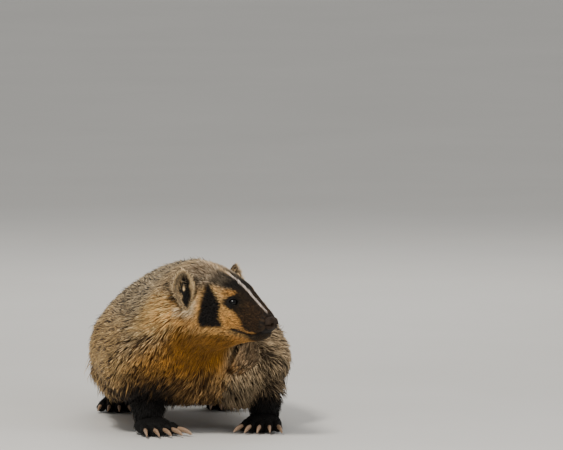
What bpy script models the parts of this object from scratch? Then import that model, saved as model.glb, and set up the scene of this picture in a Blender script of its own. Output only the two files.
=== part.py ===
"""A young American badger, life size, standing square with its head turned to its left.

Units are metres. The badger faces -Y, its left side is +X, and the floor is z = 0.
The trunk, neck and head are one long form, measured along the spine by s: s is 0 between the
shoulders, negative towards the rump and positive towards the nose. Round each section, theta is 0
along the back, a quarter turn on the left side and half a turn under the belly.
"""

import math

import bmesh
import bpy
import numpy as np
from mathutils import Vector

# Driving dimensions
RUMP = -0.372
RUMP_ROUNDING = 0.10
NECK_LENGTH = 0.085
HEAD_TURN = math.radians(43)
SPINE_X = -0.002
SKULL_BASE = (-0.007, -0.078)
TORSO_END = 0.020
NECK_END = 0.077
TURN_START = -0.080
HEAD_FRONT = 0.182
MUZZLE_ROUNDING = 0.012
GAP = 0.0003
CLEAR = 0.00025

EYE_FORWARD, EYE_HEIGHT, EYE_RADIUS, EYE_DEPTH = 0.138, 0.1755, 0.0064, 0.0052
LID_THICKNESS = 0.0011
LID_OPENING = (0.0060, 0.0047)
EAR_FORWARD, EAR_ACROSS, EAR_HEIGHT = 0.084, 0.055, 0.190
EAR_HALF_WIDTH, EAR_HALF_HEIGHT, EAR_CUP = 0.0160, 0.0258, 0.0095
NOSE_CENTRE = (0.1775, 0.1492)
NOSE_HALF = (0.0078, 0.0112, 0.0084)
MOUTH_LINE = [(0.139, 0.1424), (0.147, 0.1398), (0.155, 0.1374), (0.163, 0.1356), (0.1725, 0.1382)]
MOUTH_OPENING = 0.0011

FORELEG = [
    (0.0183, 0.0750, 0.000, 0.0185, 0.0190), (0.030, 0.0750, 0.002, 0.0215, 0.0225),
    (0.048, 0.0740, 0.010, 0.0245, 0.0260), (0.068, 0.0650, 0.026, 0.0250, 0.0290),
    (0.088, 0.0500, 0.040, 0.0240, 0.0300),
]
FORELEG_PLACE = {-1: -0.012, 1: 0.004}
CHEST_TURN = 0.30
SEED = 14
HINDLEG = [
    (0.0183, 0.0640, 0.291, 0.0170, 0.0230), (0.032, 0.0640, 0.286, 0.0215, 0.0290),
    (0.050, 0.0600, 0.276, 0.0260, 0.0350), (0.072, 0.0520, 0.260, 0.0270, 0.0390),
    (0.095, 0.0420, 0.245, 0.0240, 0.0380),
]
TAIL = [
    (0.330, 0.128, 0.0120), (0.362, 0.116, 0.0125), (0.395, 0.102, 0.0120), (0.425, 0.088, 0.0105),
    (0.448, 0.074, 0.0075), (0.462, 0.063, 0.0030),
]
TAIL_REACH = 0.011

# Outlines at the tips of the coat, as (s, value)
TOP_LINE = [
    (-0.372, 0.146), (-0.300, 0.164), (-0.240, 0.181), (-0.180, 0.196), (-0.100, 0.206), (-0.030, 0.213),
    (0.030, 0.217), (0.065, 0.221), (0.085, 0.219), (0.105, 0.2105), (0.125, 0.2015),
    (0.138, 0.1925), (0.156, 0.1770), (0.167, 0.1680), (0.176, 0.1605), (0.182, 0.1560),
]
UNDER_LINE = [
    (-0.372, 0.050), (-0.300, 0.040), (-0.180, 0.035), (-0.060, 0.033), (0.000, 0.034),
    (0.030, 0.048), (0.060, 0.084), (0.085, 0.110), (0.105, 0.116), (0.125, 0.1205),
    (0.145, 0.1245), (0.160, 0.1262), (0.167, 0.1290), (0.1705, 0.1350), (0.182, 0.1385),
]
HALF_WIDTH = [
    (-0.372, 0.082), (-0.300, 0.094), (-0.240, 0.105), (-0.180, 0.114), (-0.100, 0.121), (-0.040, 0.122),
    (0.000, 0.115), (0.025, 0.102), (0.050, 0.080), (0.070, 0.064), (0.085, 0.057),
    (0.105, 0.051), (0.125, 0.039), (0.138, 0.031), (0.155, 0.0235), (0.170, 0.0180), (0.182, 0.0150),
]
WIDEST_HEIGHT = [
    (-0.372, 0.096), (-0.300, 0.090), (-0.180, 0.084), (0.000, 0.086), (0.030, 0.106),
    (0.060, 0.140), (0.085, 0.154), (0.138, 0.151), (0.170, 0.1475), (0.182, 0.1465),
]
ROOF_POWER = [(-0.372, 1.80), (-0.180, 1.58), (0.000, 1.45), (0.060, 1.85), (0.085, 2.10), (0.182, 2.30)]
KEEL_POWER = [(-0.372, 2.20), (-0.180, 2.35), (0.000, 2.40), (0.060, 2.10), (0.182, 2.50)]
LOCK_REACH = [(-0.372, 0.013), (0.000, 0.013), (0.050, 0.009), (0.085, 0.0)]

# Soft rises and hollows of the head: s, distance from the midline, height, radius, amount
HEAD_RELIEF = [
    (0.1385, 0.0250, 0.176, 0.0095, -0.0020),
    (0.132, 0.0210, 0.187, 0.0085, 0.0018),
    (0.108, 0.0470, 0.150, 0.0240, 0.0040),
    (0.168, 0.0170, 0.145, 0.0110, 0.0014),
    (0.150, 0.0120, 0.185, 0.0120, 0.0010),
]

COLOURS = {
    "grizzled": (0.30, 0.24, 0.17), "buff": (0.52, 0.36, 0.17), "face": (0.16, 0.11, 0.08),
    "dark": (0.035, 0.028, 0.024), "ear": (0.45, 0.36, 0.24), "nose": (0.06, 0.045, 0.04),
    "eye": (0.01, 0.008, 0.007), "tail": (0.36, 0.26, 0.15),
}
ROUGHNESS = {"eye": 0.08, "nose": 0.45}
FUR_ROUGHNESS = 0.85


def clear_scene():
    for obj in list(bpy.data.objects):
        bpy.data.objects.remove(obj)


def material(name):
    found = bpy.data.materials.get(name)
    if found:
        return found
    made = bpy.data.materials.new(name)
    made.use_nodes = True
    shader = made.node_tree.nodes["Principled BSDF"]
    shader.inputs["Base Color"].default_value = (*COLOURS[name], 1.0)
    shader.inputs["Roughness"].default_value = ROUGHNESS.get(name, FUR_ROUGHNESS)
    return made


def through(knots, s):
    """The value at s of a smooth curve through the knots that never overshoots them."""
    at, values = np.array(knots).T
    slope = np.diff(values) / np.diff(at)
    product = slope[:-1] * slope[1:]
    total = np.where(np.abs(slope[:-1] + slope[1:]) < 1e-12, 1.0, slope[:-1] + slope[1:])
    inner = np.where(product > 0, 2 * product / total, 0.0)
    tangent = np.concatenate([slope[:1], inner, slope[-1:]])
    s = np.clip(s, at[0], at[-1])
    i = np.clip(np.searchsorted(at, s) - 1, 0, len(slope) - 1)
    width = at[i + 1] - at[i]
    t = (s - at[i]) / width
    return (
        (1 + 2 * t) * (1 - t) ** 2 * values[i]
        + t * (1 - t) ** 2 * width * tangent[i]
        + t * t * (3 - 2 * t) * values[i + 1]
        + t * t * (t - 1) * width * tangent[i + 1]
    )


def heading(yaw):
    """The level direction that a section faces: straight ahead is -Y."""
    return np.array([math.sin(yaw), -math.cos(yaw)])


def spine(s):
    """The spine's place in plan at s, and the way that its section faces there."""
    start = np.array([SPINE_X, -TURN_START])
    skull = np.array(SKULL_BASE)
    if s <= TURN_START:
        return np.array([SPINE_X, -s]), 0.0
    if s >= NECK_LENGTH:
        return skull + (s - NECK_LENGTH) * heading(HEAD_TURN), HEAD_TURN
    length = NECK_LENGTH - TURN_START
    t = (s - TURN_START) / length
    place = (
        (1 + 2 * t) * (1 - t) ** 2 * start
        + t * (1 - t) ** 2 * length * heading(0.0)
        + t * t * (3 - 2 * t) * skull
        + t * t * (t - 1) * length * heading(HEAD_TURN)
    )
    return place, HEAD_TURN * t * t * (3 - 2 * t)


def signed_power(value, power):
    return math.copysign(abs(value) ** power, value)


def body_point(s, theta, out=0.0):
    """The point of the body's outline at s and theta, moved outwards by out."""
    place, yaw = spine(s)
    end = 1.0
    if s < RUMP + RUMP_ROUNDING:
        end = math.sqrt(max(1 - ((RUMP + RUMP_ROUNDING - s) / (RUMP_ROUNDING + out)) ** 2, 0.0))
    elif s > HEAD_FRONT - MUZZLE_ROUNDING:
        past = (s - HEAD_FRONT + MUZZLE_ROUNDING) / (MUZZLE_ROUNDING + out)
        end = math.sqrt(max(1 - past * past, 0.0))
    sine, cosine = math.sin(theta), math.cos(theta)
    widest = float(through(WIDEST_HEIGHT, s))
    upper = cosine > 0
    power = float(through(ROOF_POWER if upper else KEEL_POWER, s))
    edge = float(through(TOP_LINE if upper else UNDER_LINE, s))
    wide, high = float(through(HALF_WIDTH, s)), abs(edge - widest)
    across = signed_power(sine, 2 / power)
    up = signed_power(cosine, 2 / power)
    normal = np.array([signed_power(across, power - 1) / wide, signed_power(up, power - 1) / high])
    normal /= np.linalg.norm(normal)
    across, up = wide * across, high * up
    for at, side, height, radius, amount in HEAD_RELIEF:
        far = (s - at) ** 2 + (abs(across) - side) ** 2 + (widest + up - height) ** 2
        out += amount * math.exp(-far / radius**2)
    across, up = (across + out * normal[0]) * end, widest + (up + out * normal[1]) * end
    turn = yaw * turn_share(s, up)
    return np.array([place[0] + math.cos(turn) * across, place[1] + math.sin(turn) * across, up])


def smooth_step(value):
    value = min(max(value, 0.0), 1.0)
    return value * value * (3 - 2 * value)


def turn_share(s, up):
    """How much of the neck's turn a height takes: the chest stays square under a turned head."""
    low = CHEST_TURN + (1 - CHEST_TURN) * smooth_step((up - 0.070) / 0.085)
    return low + (1 - low) * smooth_step((s - 0.030) / 0.050)


def head_point(forward, across, up):
    """A point given from the head's own axes: forward is s, across is to the badger's left."""
    place, yaw = spine(forward)
    return Vector((place[0] + math.cos(yaw) * across, place[1] + math.sin(yaw) * across, up))


def head_direction(forward, across, up):
    """A unit direction given along the head's own axes."""
    ahead = heading(HEAD_TURN)
    left = np.array([math.cos(HEAD_TURN), math.sin(HEAD_TURN)])
    level = forward * ahead + across * left
    return Vector((level[0], level[1], up)).normalized()


def mesh_object(name, points, faces, colour):
    mesh = bpy.data.meshes.new(name)
    mesh.from_pydata([tuple(p) for p in points], [], faces)
    made = bmesh.new()
    made.from_mesh(mesh)
    bmesh.ops.recalc_face_normals(made, faces=made.faces)
    made.to_mesh(mesh)
    made.free()
    mesh.materials.append(material(colour))
    obj = bpy.data.objects.new(name, mesh)
    bpy.context.scene.collection.objects.link(obj)
    return obj


def loft(name, rings, colour):
    """One closed body through rings of equal count, each end closed about its middle point."""
    count = len(rings[0])
    points = [np.array(p) for ring in rings for p in ring]
    faces = []
    for row in range(len(rings) - 1):
        for i in range(count):
            j = (i + 1) % count
            a, b = row * count, (row + 1) * count
            faces += [(a + i, a + j, b + j), (a + i, b + j, b + i)]
    for first in (0, len(points) - count):
        middle = len(rings) * count + (1 if first else 0)
        faces += [(first + i, first + (i + 1) % count, middle) for i in range(count)]
    middles = [np.mean(points[:count], axis=0), np.mean(points[-count:], axis=0)]
    return mesh_object(name, points + middles, faces, colour)


def steps(start, end, count):
    return [start + (end - start) * i / count for i in range(count + 1)]


def apply_modifiers(obj):
    graph = bpy.context.evaluated_depsgraph_get()
    finished = bpy.data.meshes.new_from_object(obj.evaluated_get(graph))
    obj.modifiers.clear()
    obj.data = finished


def boolean(obj, operation, others, solver="MANIFOLD"):
    """Joins obj with others, or cuts them from it, and removes them."""
    group = bpy.data.collections.new("tools")
    bpy.context.scene.collection.children.link(group)
    for other in others:
        for owner in list(other.users_collection):
            owner.objects.unlink(other)
        group.objects.link(other)
    cut = obj.modifiers.new("boolean", "BOOLEAN")
    cut.operation = operation
    cut.solver = solver
    cut.operand_type = "COLLECTION"
    cut.collection = group
    apply_modifiers(obj)
    for other in others:
        bpy.data.objects.remove(other)
    bpy.data.collections.remove(group)
    return obj


def keep_largest(obj):
    """Leaves only the closed surface with the largest box, and drops loose scraps."""
    made = bmesh.new()
    made.from_mesh(obj.data)
    made.verts.ensure_lookup_table()
    left, surfaces = set(made.verts), []
    while left:
        found, edge = set(), [left.pop()]
        while edge:
            vertex = edge.pop()
            found.add(vertex)
            for link in vertex.link_edges:
                other = link.other_vert(vertex)
                if other in left:
                    left.discard(other)
                    edge.append(other)
        surfaces.append(found)

    def reach(surface):
        places = np.array([v.co for v in surface])
        return float(np.prod(places.max(0) - places.min(0)))

    largest = max(surfaces, key=reach)
    bmesh.ops.delete(made, geom=[v for v in made.verts if v not in largest], context="VERTS")
    made.to_mesh(obj.data)
    made.free()
    return obj


def finish(obj, smooth_angle=50):
    keep_largest(obj)
    obj.data.shade_smooth()
    obj.data.set_sharp_from_angle(angle=math.radians(smooth_angle))
    return obj


# The long form of the body
AROUND = 24
TURN = 2 * math.pi


def body_length(name, rows, out, colour):
    rings = [[body_point(s, TURN * i / AROUND, out(s)) for i in range(AROUND)] for s in rows]
    return loft(name, rings, colour)


def core_depth(s):
    return -float(through(LOCK_REACH, s))


def torso_core(grow=0.0, plain=False):
    round_length = RUMP_ROUNDING + core_depth(RUMP) + grow
    corner = RUMP + RUMP_ROUNDING
    rump = [corner - round_length * math.cos(a) for a in steps(0.2, math.pi / 2, 6)]
    rows = rump + steps(corner, TORSO_END - GAP / 2 + grow, 9)[1:]
    return body_length("torso", rows, lambda s: core_depth(s) + grow, "grizzled")


def neck_core(grow=0.0):
    rows = steps(TORSO_END + GAP / 2 - grow, NECK_END - GAP / 2, 5)
    return body_length("neck", rows, lambda s: core_depth(s) + grow, "buff")


def head_form(grow=0.0):
    skull = steps(NECK_END + GAP / 2 - grow, 0.128, 6)
    muzzle = steps(0.128, 0.162, 6)[1:]
    lip = [0.1645, 0.1675, 0.172, HEAD_FRONT - MUZZLE_ROUNDING]
    corner = HEAD_FRONT - MUZZLE_ROUNDING
    tip = [corner + (MUZZLE_ROUNDING + grow) * math.sin(a) for a in (0.45, 0.85, 1.15)]
    return body_length("head", skull + muzzle + lip + tip, lambda s: grow, "face")



def theta_at(s, height, side):
    """Where round the section at s the outline passes a height, on the left (1) or right (-1)."""
    low, high = 0.0, math.pi
    for _ in range(40):
        middle = (low + high) / 2
        if body_point(s, middle)[2] > height:
            low = middle
        else:
            high = middle
    return side * low


def surface_frame(s, theta, out=0.0):
    """The place on the outline, the ways that s and theta lead there, and the outward normal."""
    step = 0.0005
    place = body_point(s, theta, out)
    along = (body_point(s + step, theta, out) - body_point(s - step, theta, out)) / (2 * step)
    around = (body_point(s, theta + step, out) - body_point(s, theta - step, out)) / (2 * step)
    normal = np.cross(around, along)
    normal /= np.linalg.norm(normal) + 1e-12
    middle, _ = spine(s)
    if np.dot(normal, place - np.array([*middle, float(through(WIDEST_HEIGHT, s))])) < 0:
        normal = -normal
    return place, along, around, normal


# Small parts of the head
def ball(name, centre, axes, colour, rows=8, around=14, power=2.0):
    """A closed rounded form about a centre, with its three half axes as vectors."""
    rings = []
    for row in range(1, rows):
        latitude = math.pi * row / rows
        up, level = signed_power(math.cos(latitude), 2 / power), math.sin(latitude)
        level = abs(level) ** (2 / power)
        ring = []
        for i in range(around):
            turn = TURN * i / around
            a = level * signed_power(math.cos(turn), 2 / power)
            b = level * signed_power(math.sin(turn), 2 / power)
            ring.append(centre + axes[0] * a + axes[1] * b + axes[2] * up)
        rings.append(ring)
    points = [centre + axes[2]] + [p for ring in rings for p in ring] + [centre - axes[2]]
    faces = []
    for i in range(around):
        j = (i + 1) % around
        faces.append((0, 1 + i, 1 + j))
        last = 1 + (rows - 2) * around
        faces.append((last + i, len(points) - 1, last + j))
        for row in range(rows - 2):
            a, b = 1 + row * around, 1 + (row + 1) * around
            faces.append((a + i, b + i, b + j, a + j))
    return mesh_object(name, points, faces, colour)


def upright(direction):
    """Two directions square to the given one: one near level, one near upright."""
    level = Vector((0, 0, 1)).cross(direction).normalized()
    return level, direction.cross(level).normalized()


def eye_place(side):
    theta = theta_at(EYE_FORWARD, EYE_HEIGHT, side)
    place, _, _, normal = surface_frame(EYE_FORWARD, theta)
    look = (Vector(normal) + 0.22 * head_direction(1, 0, 0)).normalized()
    return Vector(place) - EYE_DEPTH * Vector(normal), look


def eyeball(name, side, radius, colour="eye"):
    centre, look = eye_place(side)
    level, rise = upright(look)
    axes = [level * radius, rise * radius, look * radius]
    return ball(name, centre, axes, colour)


def eye_opening(side):
    """An almond shaped prism that opens the lids over the eye."""
    centre, look = eye_place(side)
    level, rise = upright(look)
    if level.dot(head_direction(1, 0, 0)) < 0:
        level = -level
    level = (level - 0.12 * rise).normalized()
    rise = level.cross(look) * (1 if level.cross(look).z > 0 else -1)
    rings = []
    for out, size in ((0.001, 0.85), (0.012, 1.25)):
        ring = []
        for i in range(14):
            turn = TURN * i / 14
            wide = LID_OPENING[0] * size * math.cos(turn)
            high = LID_OPENING[1] * size * math.sin(turn) * (0.72 + 0.28 * abs(math.sin(turn)))
            ring.append(centre + look * out + level * wide + rise * high)
        rings.append(ring)
    return loft("opening", rings, "eye")


def mouth_groove(side):
    rings = []
    for s in steps(MOUTH_LINE[0][0] - 0.001, MOUTH_LINE[-1][0], 9):
        height = float(through(MOUTH_LINE, s))
        place, _, _, normal = surface_frame(s, theta_at(s, height, side))
        place, outward = Vector(place), Vector((normal[0], normal[1], 0)).normalized()
        grown = min(1.0, (s - MOUTH_LINE[0][0] + 0.003) / 0.010)
        rise = Vector((0, 0, MOUTH_OPENING * grown))
        rings.append([
            place + outward * 0.004 + rise * 3, place + outward * 0.004 - rise * 3,
            place - outward * 0.0045 * grown - rise * 0.25, place - outward * 0.0045 * grown + rise * 0.25,
        ])
    return loft("groove", rings, "dark")


def lip(side):
    """The rounded edge of the lower lip, under the line of the mouth."""
    rings = []
    last = 0.1665
    for s in steps(MOUTH_LINE[0][0] + 0.002, last, 9):
        height = float(through(MOUTH_LINE, s)) - 0.0024
        place, _, _, normal = surface_frame(s, theta_at(s, height, side))
        radius = 0.0017 * min(1.0, (s - MOUTH_LINE[0][0]) / 0.010, 0.35 + (last - s) / 0.006)
        place, outward = Vector(place), Vector(normal)
        rise = outward.cross(head_direction(1, 0, 0)).normalized()
        ring = []
        for i in range(6):
            turn = TURN * i / 6
            ring.append(place + radius * (math.cos(turn) * outward + math.sin(turn) * rise))
        rings.append(ring)
    return loft("lip", rings, "dark")


def nose(grow=0.0):
    centre = head_point(NOSE_CENTRE[0], 0, NOSE_CENTRE[1])
    ahead, left = head_direction(1, 0, 0), head_direction(0, 1, 0)
    lengths = [half + grow for half in NOSE_HALF]
    axes = [ahead * lengths[0], left * lengths[1], Vector((0, 0, lengths[2]))]
    return ball("nose", centre, axes, "nose", rows=8, around=16, power=2.5)


def nostril(side):
    """A round opening at the front, with a slit that curls out to the side."""
    front = head_point(NOSE_CENTRE[0] + 0.0075, side * 0.0052, NOSE_CENTRE[1] - 0.0010)
    ahead, left = head_direction(1, 0, 0), head_direction(0, 1, 0)
    hole = ball("hole", front, [ahead * 0.0042, left * 0.0023, Vector((0, 0, 0.0026))], "dark", 6, 8)
    slit_centre = head_point(NOSE_CENTRE[0] + 0.0048, side * 0.0096, NOSE_CENTRE[1] - 0.0022)
    outwards = head_direction(0.55, side * 0.83, 0)
    across = outwards.cross(Vector((0, 0, 1)))
    slit_axes = [across * 0.0042, outwards * 0.0026, Vector((0, 0, 0.0011))]
    slit = ball("slit", slit_centre, slit_axes, "dark", 5, 8)
    return [hole, slit]


def ear(name, side, grow=0.0, plug=False):
    """A cupped shell, its rim turned to the front and side, or the plug that clears its seat."""
    centre = head_point(EAR_FORWARD, side * EAR_ACROSS, EAR_HEIGHT)
    open_way = head_direction(0.6, side * 0.8, 0.04)
    rise = (Vector((0, 0, 1)) + 0.10 * head_direction(0, side, 0)).normalized()
    level = open_way.cross(rise).normalized()
    rise = level.cross(open_way).normalized() * (1 if level.cross(open_way).z > 0 else -1)
    layers = [(0.36, 0.0), (0.72, 0.0), (0.93, 0.0), (1.0, 0.5), (0.95, 1.0), (0.74, 1.0), (0.38, 1.0)]
    around = 18
    if plug:
        layers = [(1.12, -8.0)] + layers[3:]
    rings = []
    for radius, layer in layers:
        ring = []
        for i in range(around):
            turn = TURN * i / around
            thick = 0.0020 + 0.0034 * (1 - min(radius, 1.0))
            depth = -EAR_CUP * (1 - min(radius, 1.0) ** 2.2) - thick * layer + (grow if layer < 0.5 else -grow)
            scale = radius * (1 + grow / EAR_HALF_WIDTH)
            high = EAR_HALF_HEIGHT * scale * math.sin(turn)
            narrow = 1 - 0.16 * max(math.sin(turn), 0.0) ** 2
            wide = EAR_HALF_WIDTH * scale * math.cos(turn) * narrow
            curl = 0.0035 * math.cos(turn) ** 2 * radius
            ring.append(centre + level * wide + rise * high + open_way * (depth + curl))
        rings.append(ring)
    return loft(name, rings, "ear")


def head():
    form = head_form()
    lids = [eyeball("lid", side, EYE_RADIUS + GAP + LID_THICKNESS, "face") for side in (-1, 1)]
    boolean(form, "UNION", lids + [lip(-1), lip(1)])
    cuts = [eyeball("socket", side, EYE_RADIUS + GAP) for side in (-1, 1)]
    cuts += [eye_opening(side) for side in (-1, 1)]
    cuts += [mouth_groove(side) for side in (-1, 1)]
    cuts += [ear("plug", side, GAP, plug=True) for side in (-1, 1)]
    for cutter in cuts + [nose(grow=GAP)]:
        boolean(form, "DIFFERENCE", [cutter])
    return finish(form)


def nose_pad():
    pad = nose()
    boolean(pad, "DIFFERENCE", nostril(-1) + nostril(1))
    return finish(pad)


# Legs and feet
def leg(name, stations, side, grow=0.0):
    rings = []
    forward = FORELEG_PLACE[side] if stations is FORELEG else 0.0
    heights, across, along, half_x, half_y = np.array(stations).T
    for row in range(len(stations) * 2 - 1):
        place = row / 2
        z, x, y, a, b = (np.interp(place, range(len(stations)), v) for v in (heights, across, along, half_x, half_y))
        if row == 0:
            z -= grow
        ring = []
        for i in range(16):
            turn = TURN * i / 16
            wide, deep = (a + grow) * math.cos(turn), (b + grow) * math.sin(turn)
            ring.append(Vector((side * x + wide, forward + y + deep, z)))
        rings.append(ring)
    limb = loft(name, rings, "dark")
    return boolean(limb, "DIFFERENCE", [torso_core(grow=GAP - grow), neck_core(grow=GAP - grow)])


def tube(name, points, radii, colour, around=8, flat=1.0):
    """A closed tapering rod through the points, its ends closed by flat faces."""
    rings = []
    for i, (point, radius) in enumerate(zip(points, radii)):
        before, after = points[max(i - 1, 0)], points[min(i + 1, len(points) - 1)]
        level, rise = upright((after - before).normalized())
        ring = []
        for k in range(around):
            turn = TURN * (k + 0.5) / around
            ring.append(point + level * radius * math.cos(turn) + rise * radius * flat * math.sin(turn))
        rings.append(ring)
    return loft(name, rings, colour)


def paw(name, side, ankle, yaw, palm_length, palm_width, toe_reach, claw_length):
    """A flat soled foot: a pad, five toes and five claws that curve down to the floor."""
    ahead = Vector((math.sin(yaw), -math.cos(yaw), 0.0))
    level = Vector((math.cos(yaw), math.sin(yaw), 0.0))
    base = Vector((side * ankle[0], ankle[1], 0.0))
    palm_centre = base + ahead * (palm_length * 0.28) + Vector((0, 0, 0.0105))
    axes = [ahead * palm_length / 2, level * palm_width / 2, Vector((0, 0, 0.0125))]
    foot = ball(name, palm_centre, axes, "dark", rows=6, around=12, power=2.3)
    pieces = []
    for toe in range(5):
        fan = (toe - 2) / 2
        spread = math.radians(20) * fan
        way = ahead * math.cos(spread) + level * math.sin(spread)
        root = palm_centre + level * fan * palm_width * 0.30 - Vector((0, 0, 0.003))
        reach = toe_reach * (1 - 0.16 * fan * fan)
        end = root + way * reach
        end.z = 0.0066
        knuckle = (root + end) / 2 + Vector((0, 0, 0.0035))
        tip = end + way * 0.0035 - Vector((0, 0, 0.001))
        radii = [0.005, 0.0067, 0.0061, 0.003]
        pieces.append(tube("toe", [root, knuckle, end, tip], radii, "dark", around=5))
        nail = [end - way * 0.003 + Vector((0, 0, 0.002))]
        for part in (0.35, 0.7, 1.0):
            drop = 0.0068 * part**1.6 * min(1.0, claw_length / 0.02)
            nail.append(end + way * claw_length * part + Vector((0, 0, 0.0024 - drop)))
        nail[-1].z = max(nail[-1].z, 0.0014)
        pieces.append(tube("claw", nail, [0.0027, 0.0026, 0.0018, 0.0006], "dark", around=4, flat=1.2))
    boolean(foot, "UNION", pieces)
    boolean(foot, "DIFFERENCE", [slab(base, -0.05, 0.0), slab(base, 0.0180, 0.05)])
    return finish(foot, 40)


def slab(place, low, high):
    corners = [(-0.15, -0.15), (0.15, -0.15), (0.15, 0.15), (-0.15, 0.15)]
    rings = [[Vector((place.x + x, place.y + y, z)) for x, y in corners] for z in (low, high)]
    return loft("slab", rings, "dark")


def tail_point(part):
    """The tail's midline and the core's radius, part of the way from its root to its tip."""
    ys, zs, radii = np.array(TAIL).T
    at = part * (len(TAIL) - 1)
    index = range(len(TAIL))
    return Vector((SPINE_X, np.interp(at, index, ys), np.interp(at, index, zs))), float(np.interp(at, index, radii))


def tail_core(grow=0.0):
    points, radii = [], []
    for part in steps(0.0, 1.0, 10):
        point, radius = tail_point(part)
        points.append(point)
        radii.append(radius + grow)
    return tube("tail", points, radii, "tail", around=12, flat=0.85)


# Locks of the long coat
LOCK_SHAPE = [(0.0, 0.75, 0.9), (0.42, 1.0, 1.0), (0.80, 0.62, 0.6)]


def lie(s, place, normal):
    """The way the coat lies: towards the rump, and down the sides, chest and throat."""
    _, yaw = spine(s)
    ahead = heading(yaw)
    fall = 0.42 + 0.75 * smooth_step((s + 0.03) / 0.08)
    way = np.array([-ahead[0], -ahead[1], -fall])
    way -= normal * np.dot(way, normal)
    return way / (np.linalg.norm(way) + 1e-12)


def body_path(s, theta, length, root_depth, tip_out, lean, count):
    """Points and normals from a root sunk in the core up to the coat's tips, along the lie."""
    path, step = [], length / count
    for i in range(count + 1):
        out = -root_depth + (root_depth + tip_out) * (i / count) ** 0.75
        place, along, around, normal = surface_frame(s, theta)
        way = lie(s, place, normal)
        across = np.cross(normal, way)
        path.append((place + normal * out, normal, across))
        way = way * math.cos(lean) + across * math.sin(lean)
        if s < RUMP + 0.004:
            place, normal, across = path[-1]
            for more in range(i + 1, count + 1):
                way = way + np.array([0.0, 0.0, -0.10])
                place = place + way * step
                path.append((place, normal, across))
            break
        solved = np.linalg.lstsq(np.column_stack([along, around]), way * step, rcond=None)[0]
        s, theta = s + float(np.clip(solved[0], -0.03, 0.03)), theta + float(np.clip(solved[1], -0.5, 0.5))
        s = max(s, RUMP + 0.001)
    return path


def lock(path, width, thick, colour, grow=0.0):
    """A flat lock of four sides that tapers to a point, bent along its path."""
    rings = []
    for at, wide, deep in LOCK_SHAPE:
        place = at * (len(path) - 1)
        low = min(int(place), len(path) - 2)
        mix = place - low
        centre, normal, across = (path[low][k] * (1 - mix) + path[low + 1][k] * mix for k in range(3))
        half, rise = width / 2 * wide + grow, thick / 2 * deep + grow
        sag = half * half * 3.2
        rings.append([
            centre + across * half - normal * sag, centre + normal * rise,
            centre - across * half - normal * sag, centre - normal * rise,
        ])
    points = [np.array(p) for ring in rings for p in ring]
    tip = path[-1][0] + (path[-1][0] - path[-2][0]) * (grow / 0.01)
    points += [np.mean(rings[0], axis=0), tip]
    faces = []
    for row in range(len(rings) - 1):
        for i in range(4):
            a, b, j = row * 4, (row + 1) * 4, (i + 1) % 4
            faces += [(a + i, a + j, b + j), (a + i, b + j, b + i)]
    last = (len(rings) - 1) * 4
    for i in range(4):
        faces += [(i, (i + 1) % 4, len(points) - 2), (last + i, last + (i + 1) % 4, len(points) - 1)]
    return mesh_object("lock", points, faces, colour)


def coat(rows, seed, colour, grow=0.0):
    """Locks in staggered rows: each row gives s, its thetas in degrees, length and width."""
    draw = np.random.default_rng(seed)
    made = []
    for s, thetas, length, width in rows:
        for theta in thetas:
            longer, wider, lean, lift, shift = draw.uniform(-1, 1, 5)
            reach = float(through(LOCK_REACH, s))
            path = body_path(
                s + 0.004 * shift, math.radians(theta), length * (1 + 0.14 * longer), reach + 0.006,
                0.0008 * lift - 0.0005, math.radians(9) * lean, 8,
            )
            made.append(lock(path, width * (1 + 0.12 * wider), 0.0075, colour, grow))
    return made


def spread(count, reach, shift=0.0):
    """Angles in degrees, even across the back from one side to the other."""
    return [(-reach + 2 * reach * (i + 0.5 + shift) / count) for i in range(count)]


def torso_locks(grow=0.0):
    rows = []
    for row in range(6):
        s = -0.014 - 0.057 * row
        rows.append((s, spread(7, 124, 0.25 if row % 2 else -0.25), 0.082, 0.062))
    for row in range(3):
        rows.append((-0.040 - 0.095 * row, [-158, 158], 0.078, 0.054))
    rows.append((-0.342, [30, 100, 150, 210, 260, 330], 0.046, 0.044))
    return coat(rows, SEED, "grizzled", grow)


def neck_locks(grow=0.0):
    rows = [
        (0.066, [0, 32, 66, 102, 140, 180, 220, 258, 294, 328], 0.050, 0.040),
        (0.042, [-16, 16, 52, 96, 134, 164, 196, 232, 272, 312], 0.056, 0.044),
    ]
    return coat(rows, SEED + 1, "buff", grow)


def tail_locks(grow=0.0):
    """Locks round the tail in staggered rings, the last ones past its tip."""
    draw = np.random.default_rng(SEED + 2)
    made = []
    for row, (part, count) in enumerate(((0.20, 5), (0.48, 5), (0.76, 4))):
        for i in range(count):
            longer, lift = draw.uniform(-1, 1, 2)
            turn = TURN * (i + 0.5 * (row % 2)) / count
            length = 0.050 * (1 + 0.12 * longer)
            path = []
            for k in range(7):
                past = part + length / 0.135 * k / 6
                point, radius = tail_point(min(past, 1.0))
                before, _ = tail_point(min(past, 1.0) - 0.05)
                way = (point - before).normalized()
                level, rise = upright(way)
                normal = level * math.cos(turn) + rise * math.sin(turn)
                wide = (1 - 0.45 * min(past, 1.0)) * (TAIL_REACH + 0.0015 * lift)
                out = (radius - 0.006) * (1 - k / 6) + (radius + wide) * (k / 6)
                centre = point + normal * out + way * max(past - 1.0, 0.0) * 0.135
                path.append((np.array(centre), np.array(normal), np.array(normal.cross(way))))
            made.append(lock(path, 0.025, 0.0065, "tail", grow))
    return made


def on_the_floor():
    """Moves the whole animal so that the middle of its foot print is at the origin."""
    nodes = [obj for obj in bpy.context.scene.objects if obj.type == "MESH"]
    places = np.array([v.co for obj in nodes for v in obj.data.vertices])
    middle = (places.min(0) + places.max(0)) / 2
    for obj in nodes:
        for vertex in obj.data.vertices:
            vertex.co.x -= middle[0]
            vertex.co.y -= middle[1]


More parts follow.
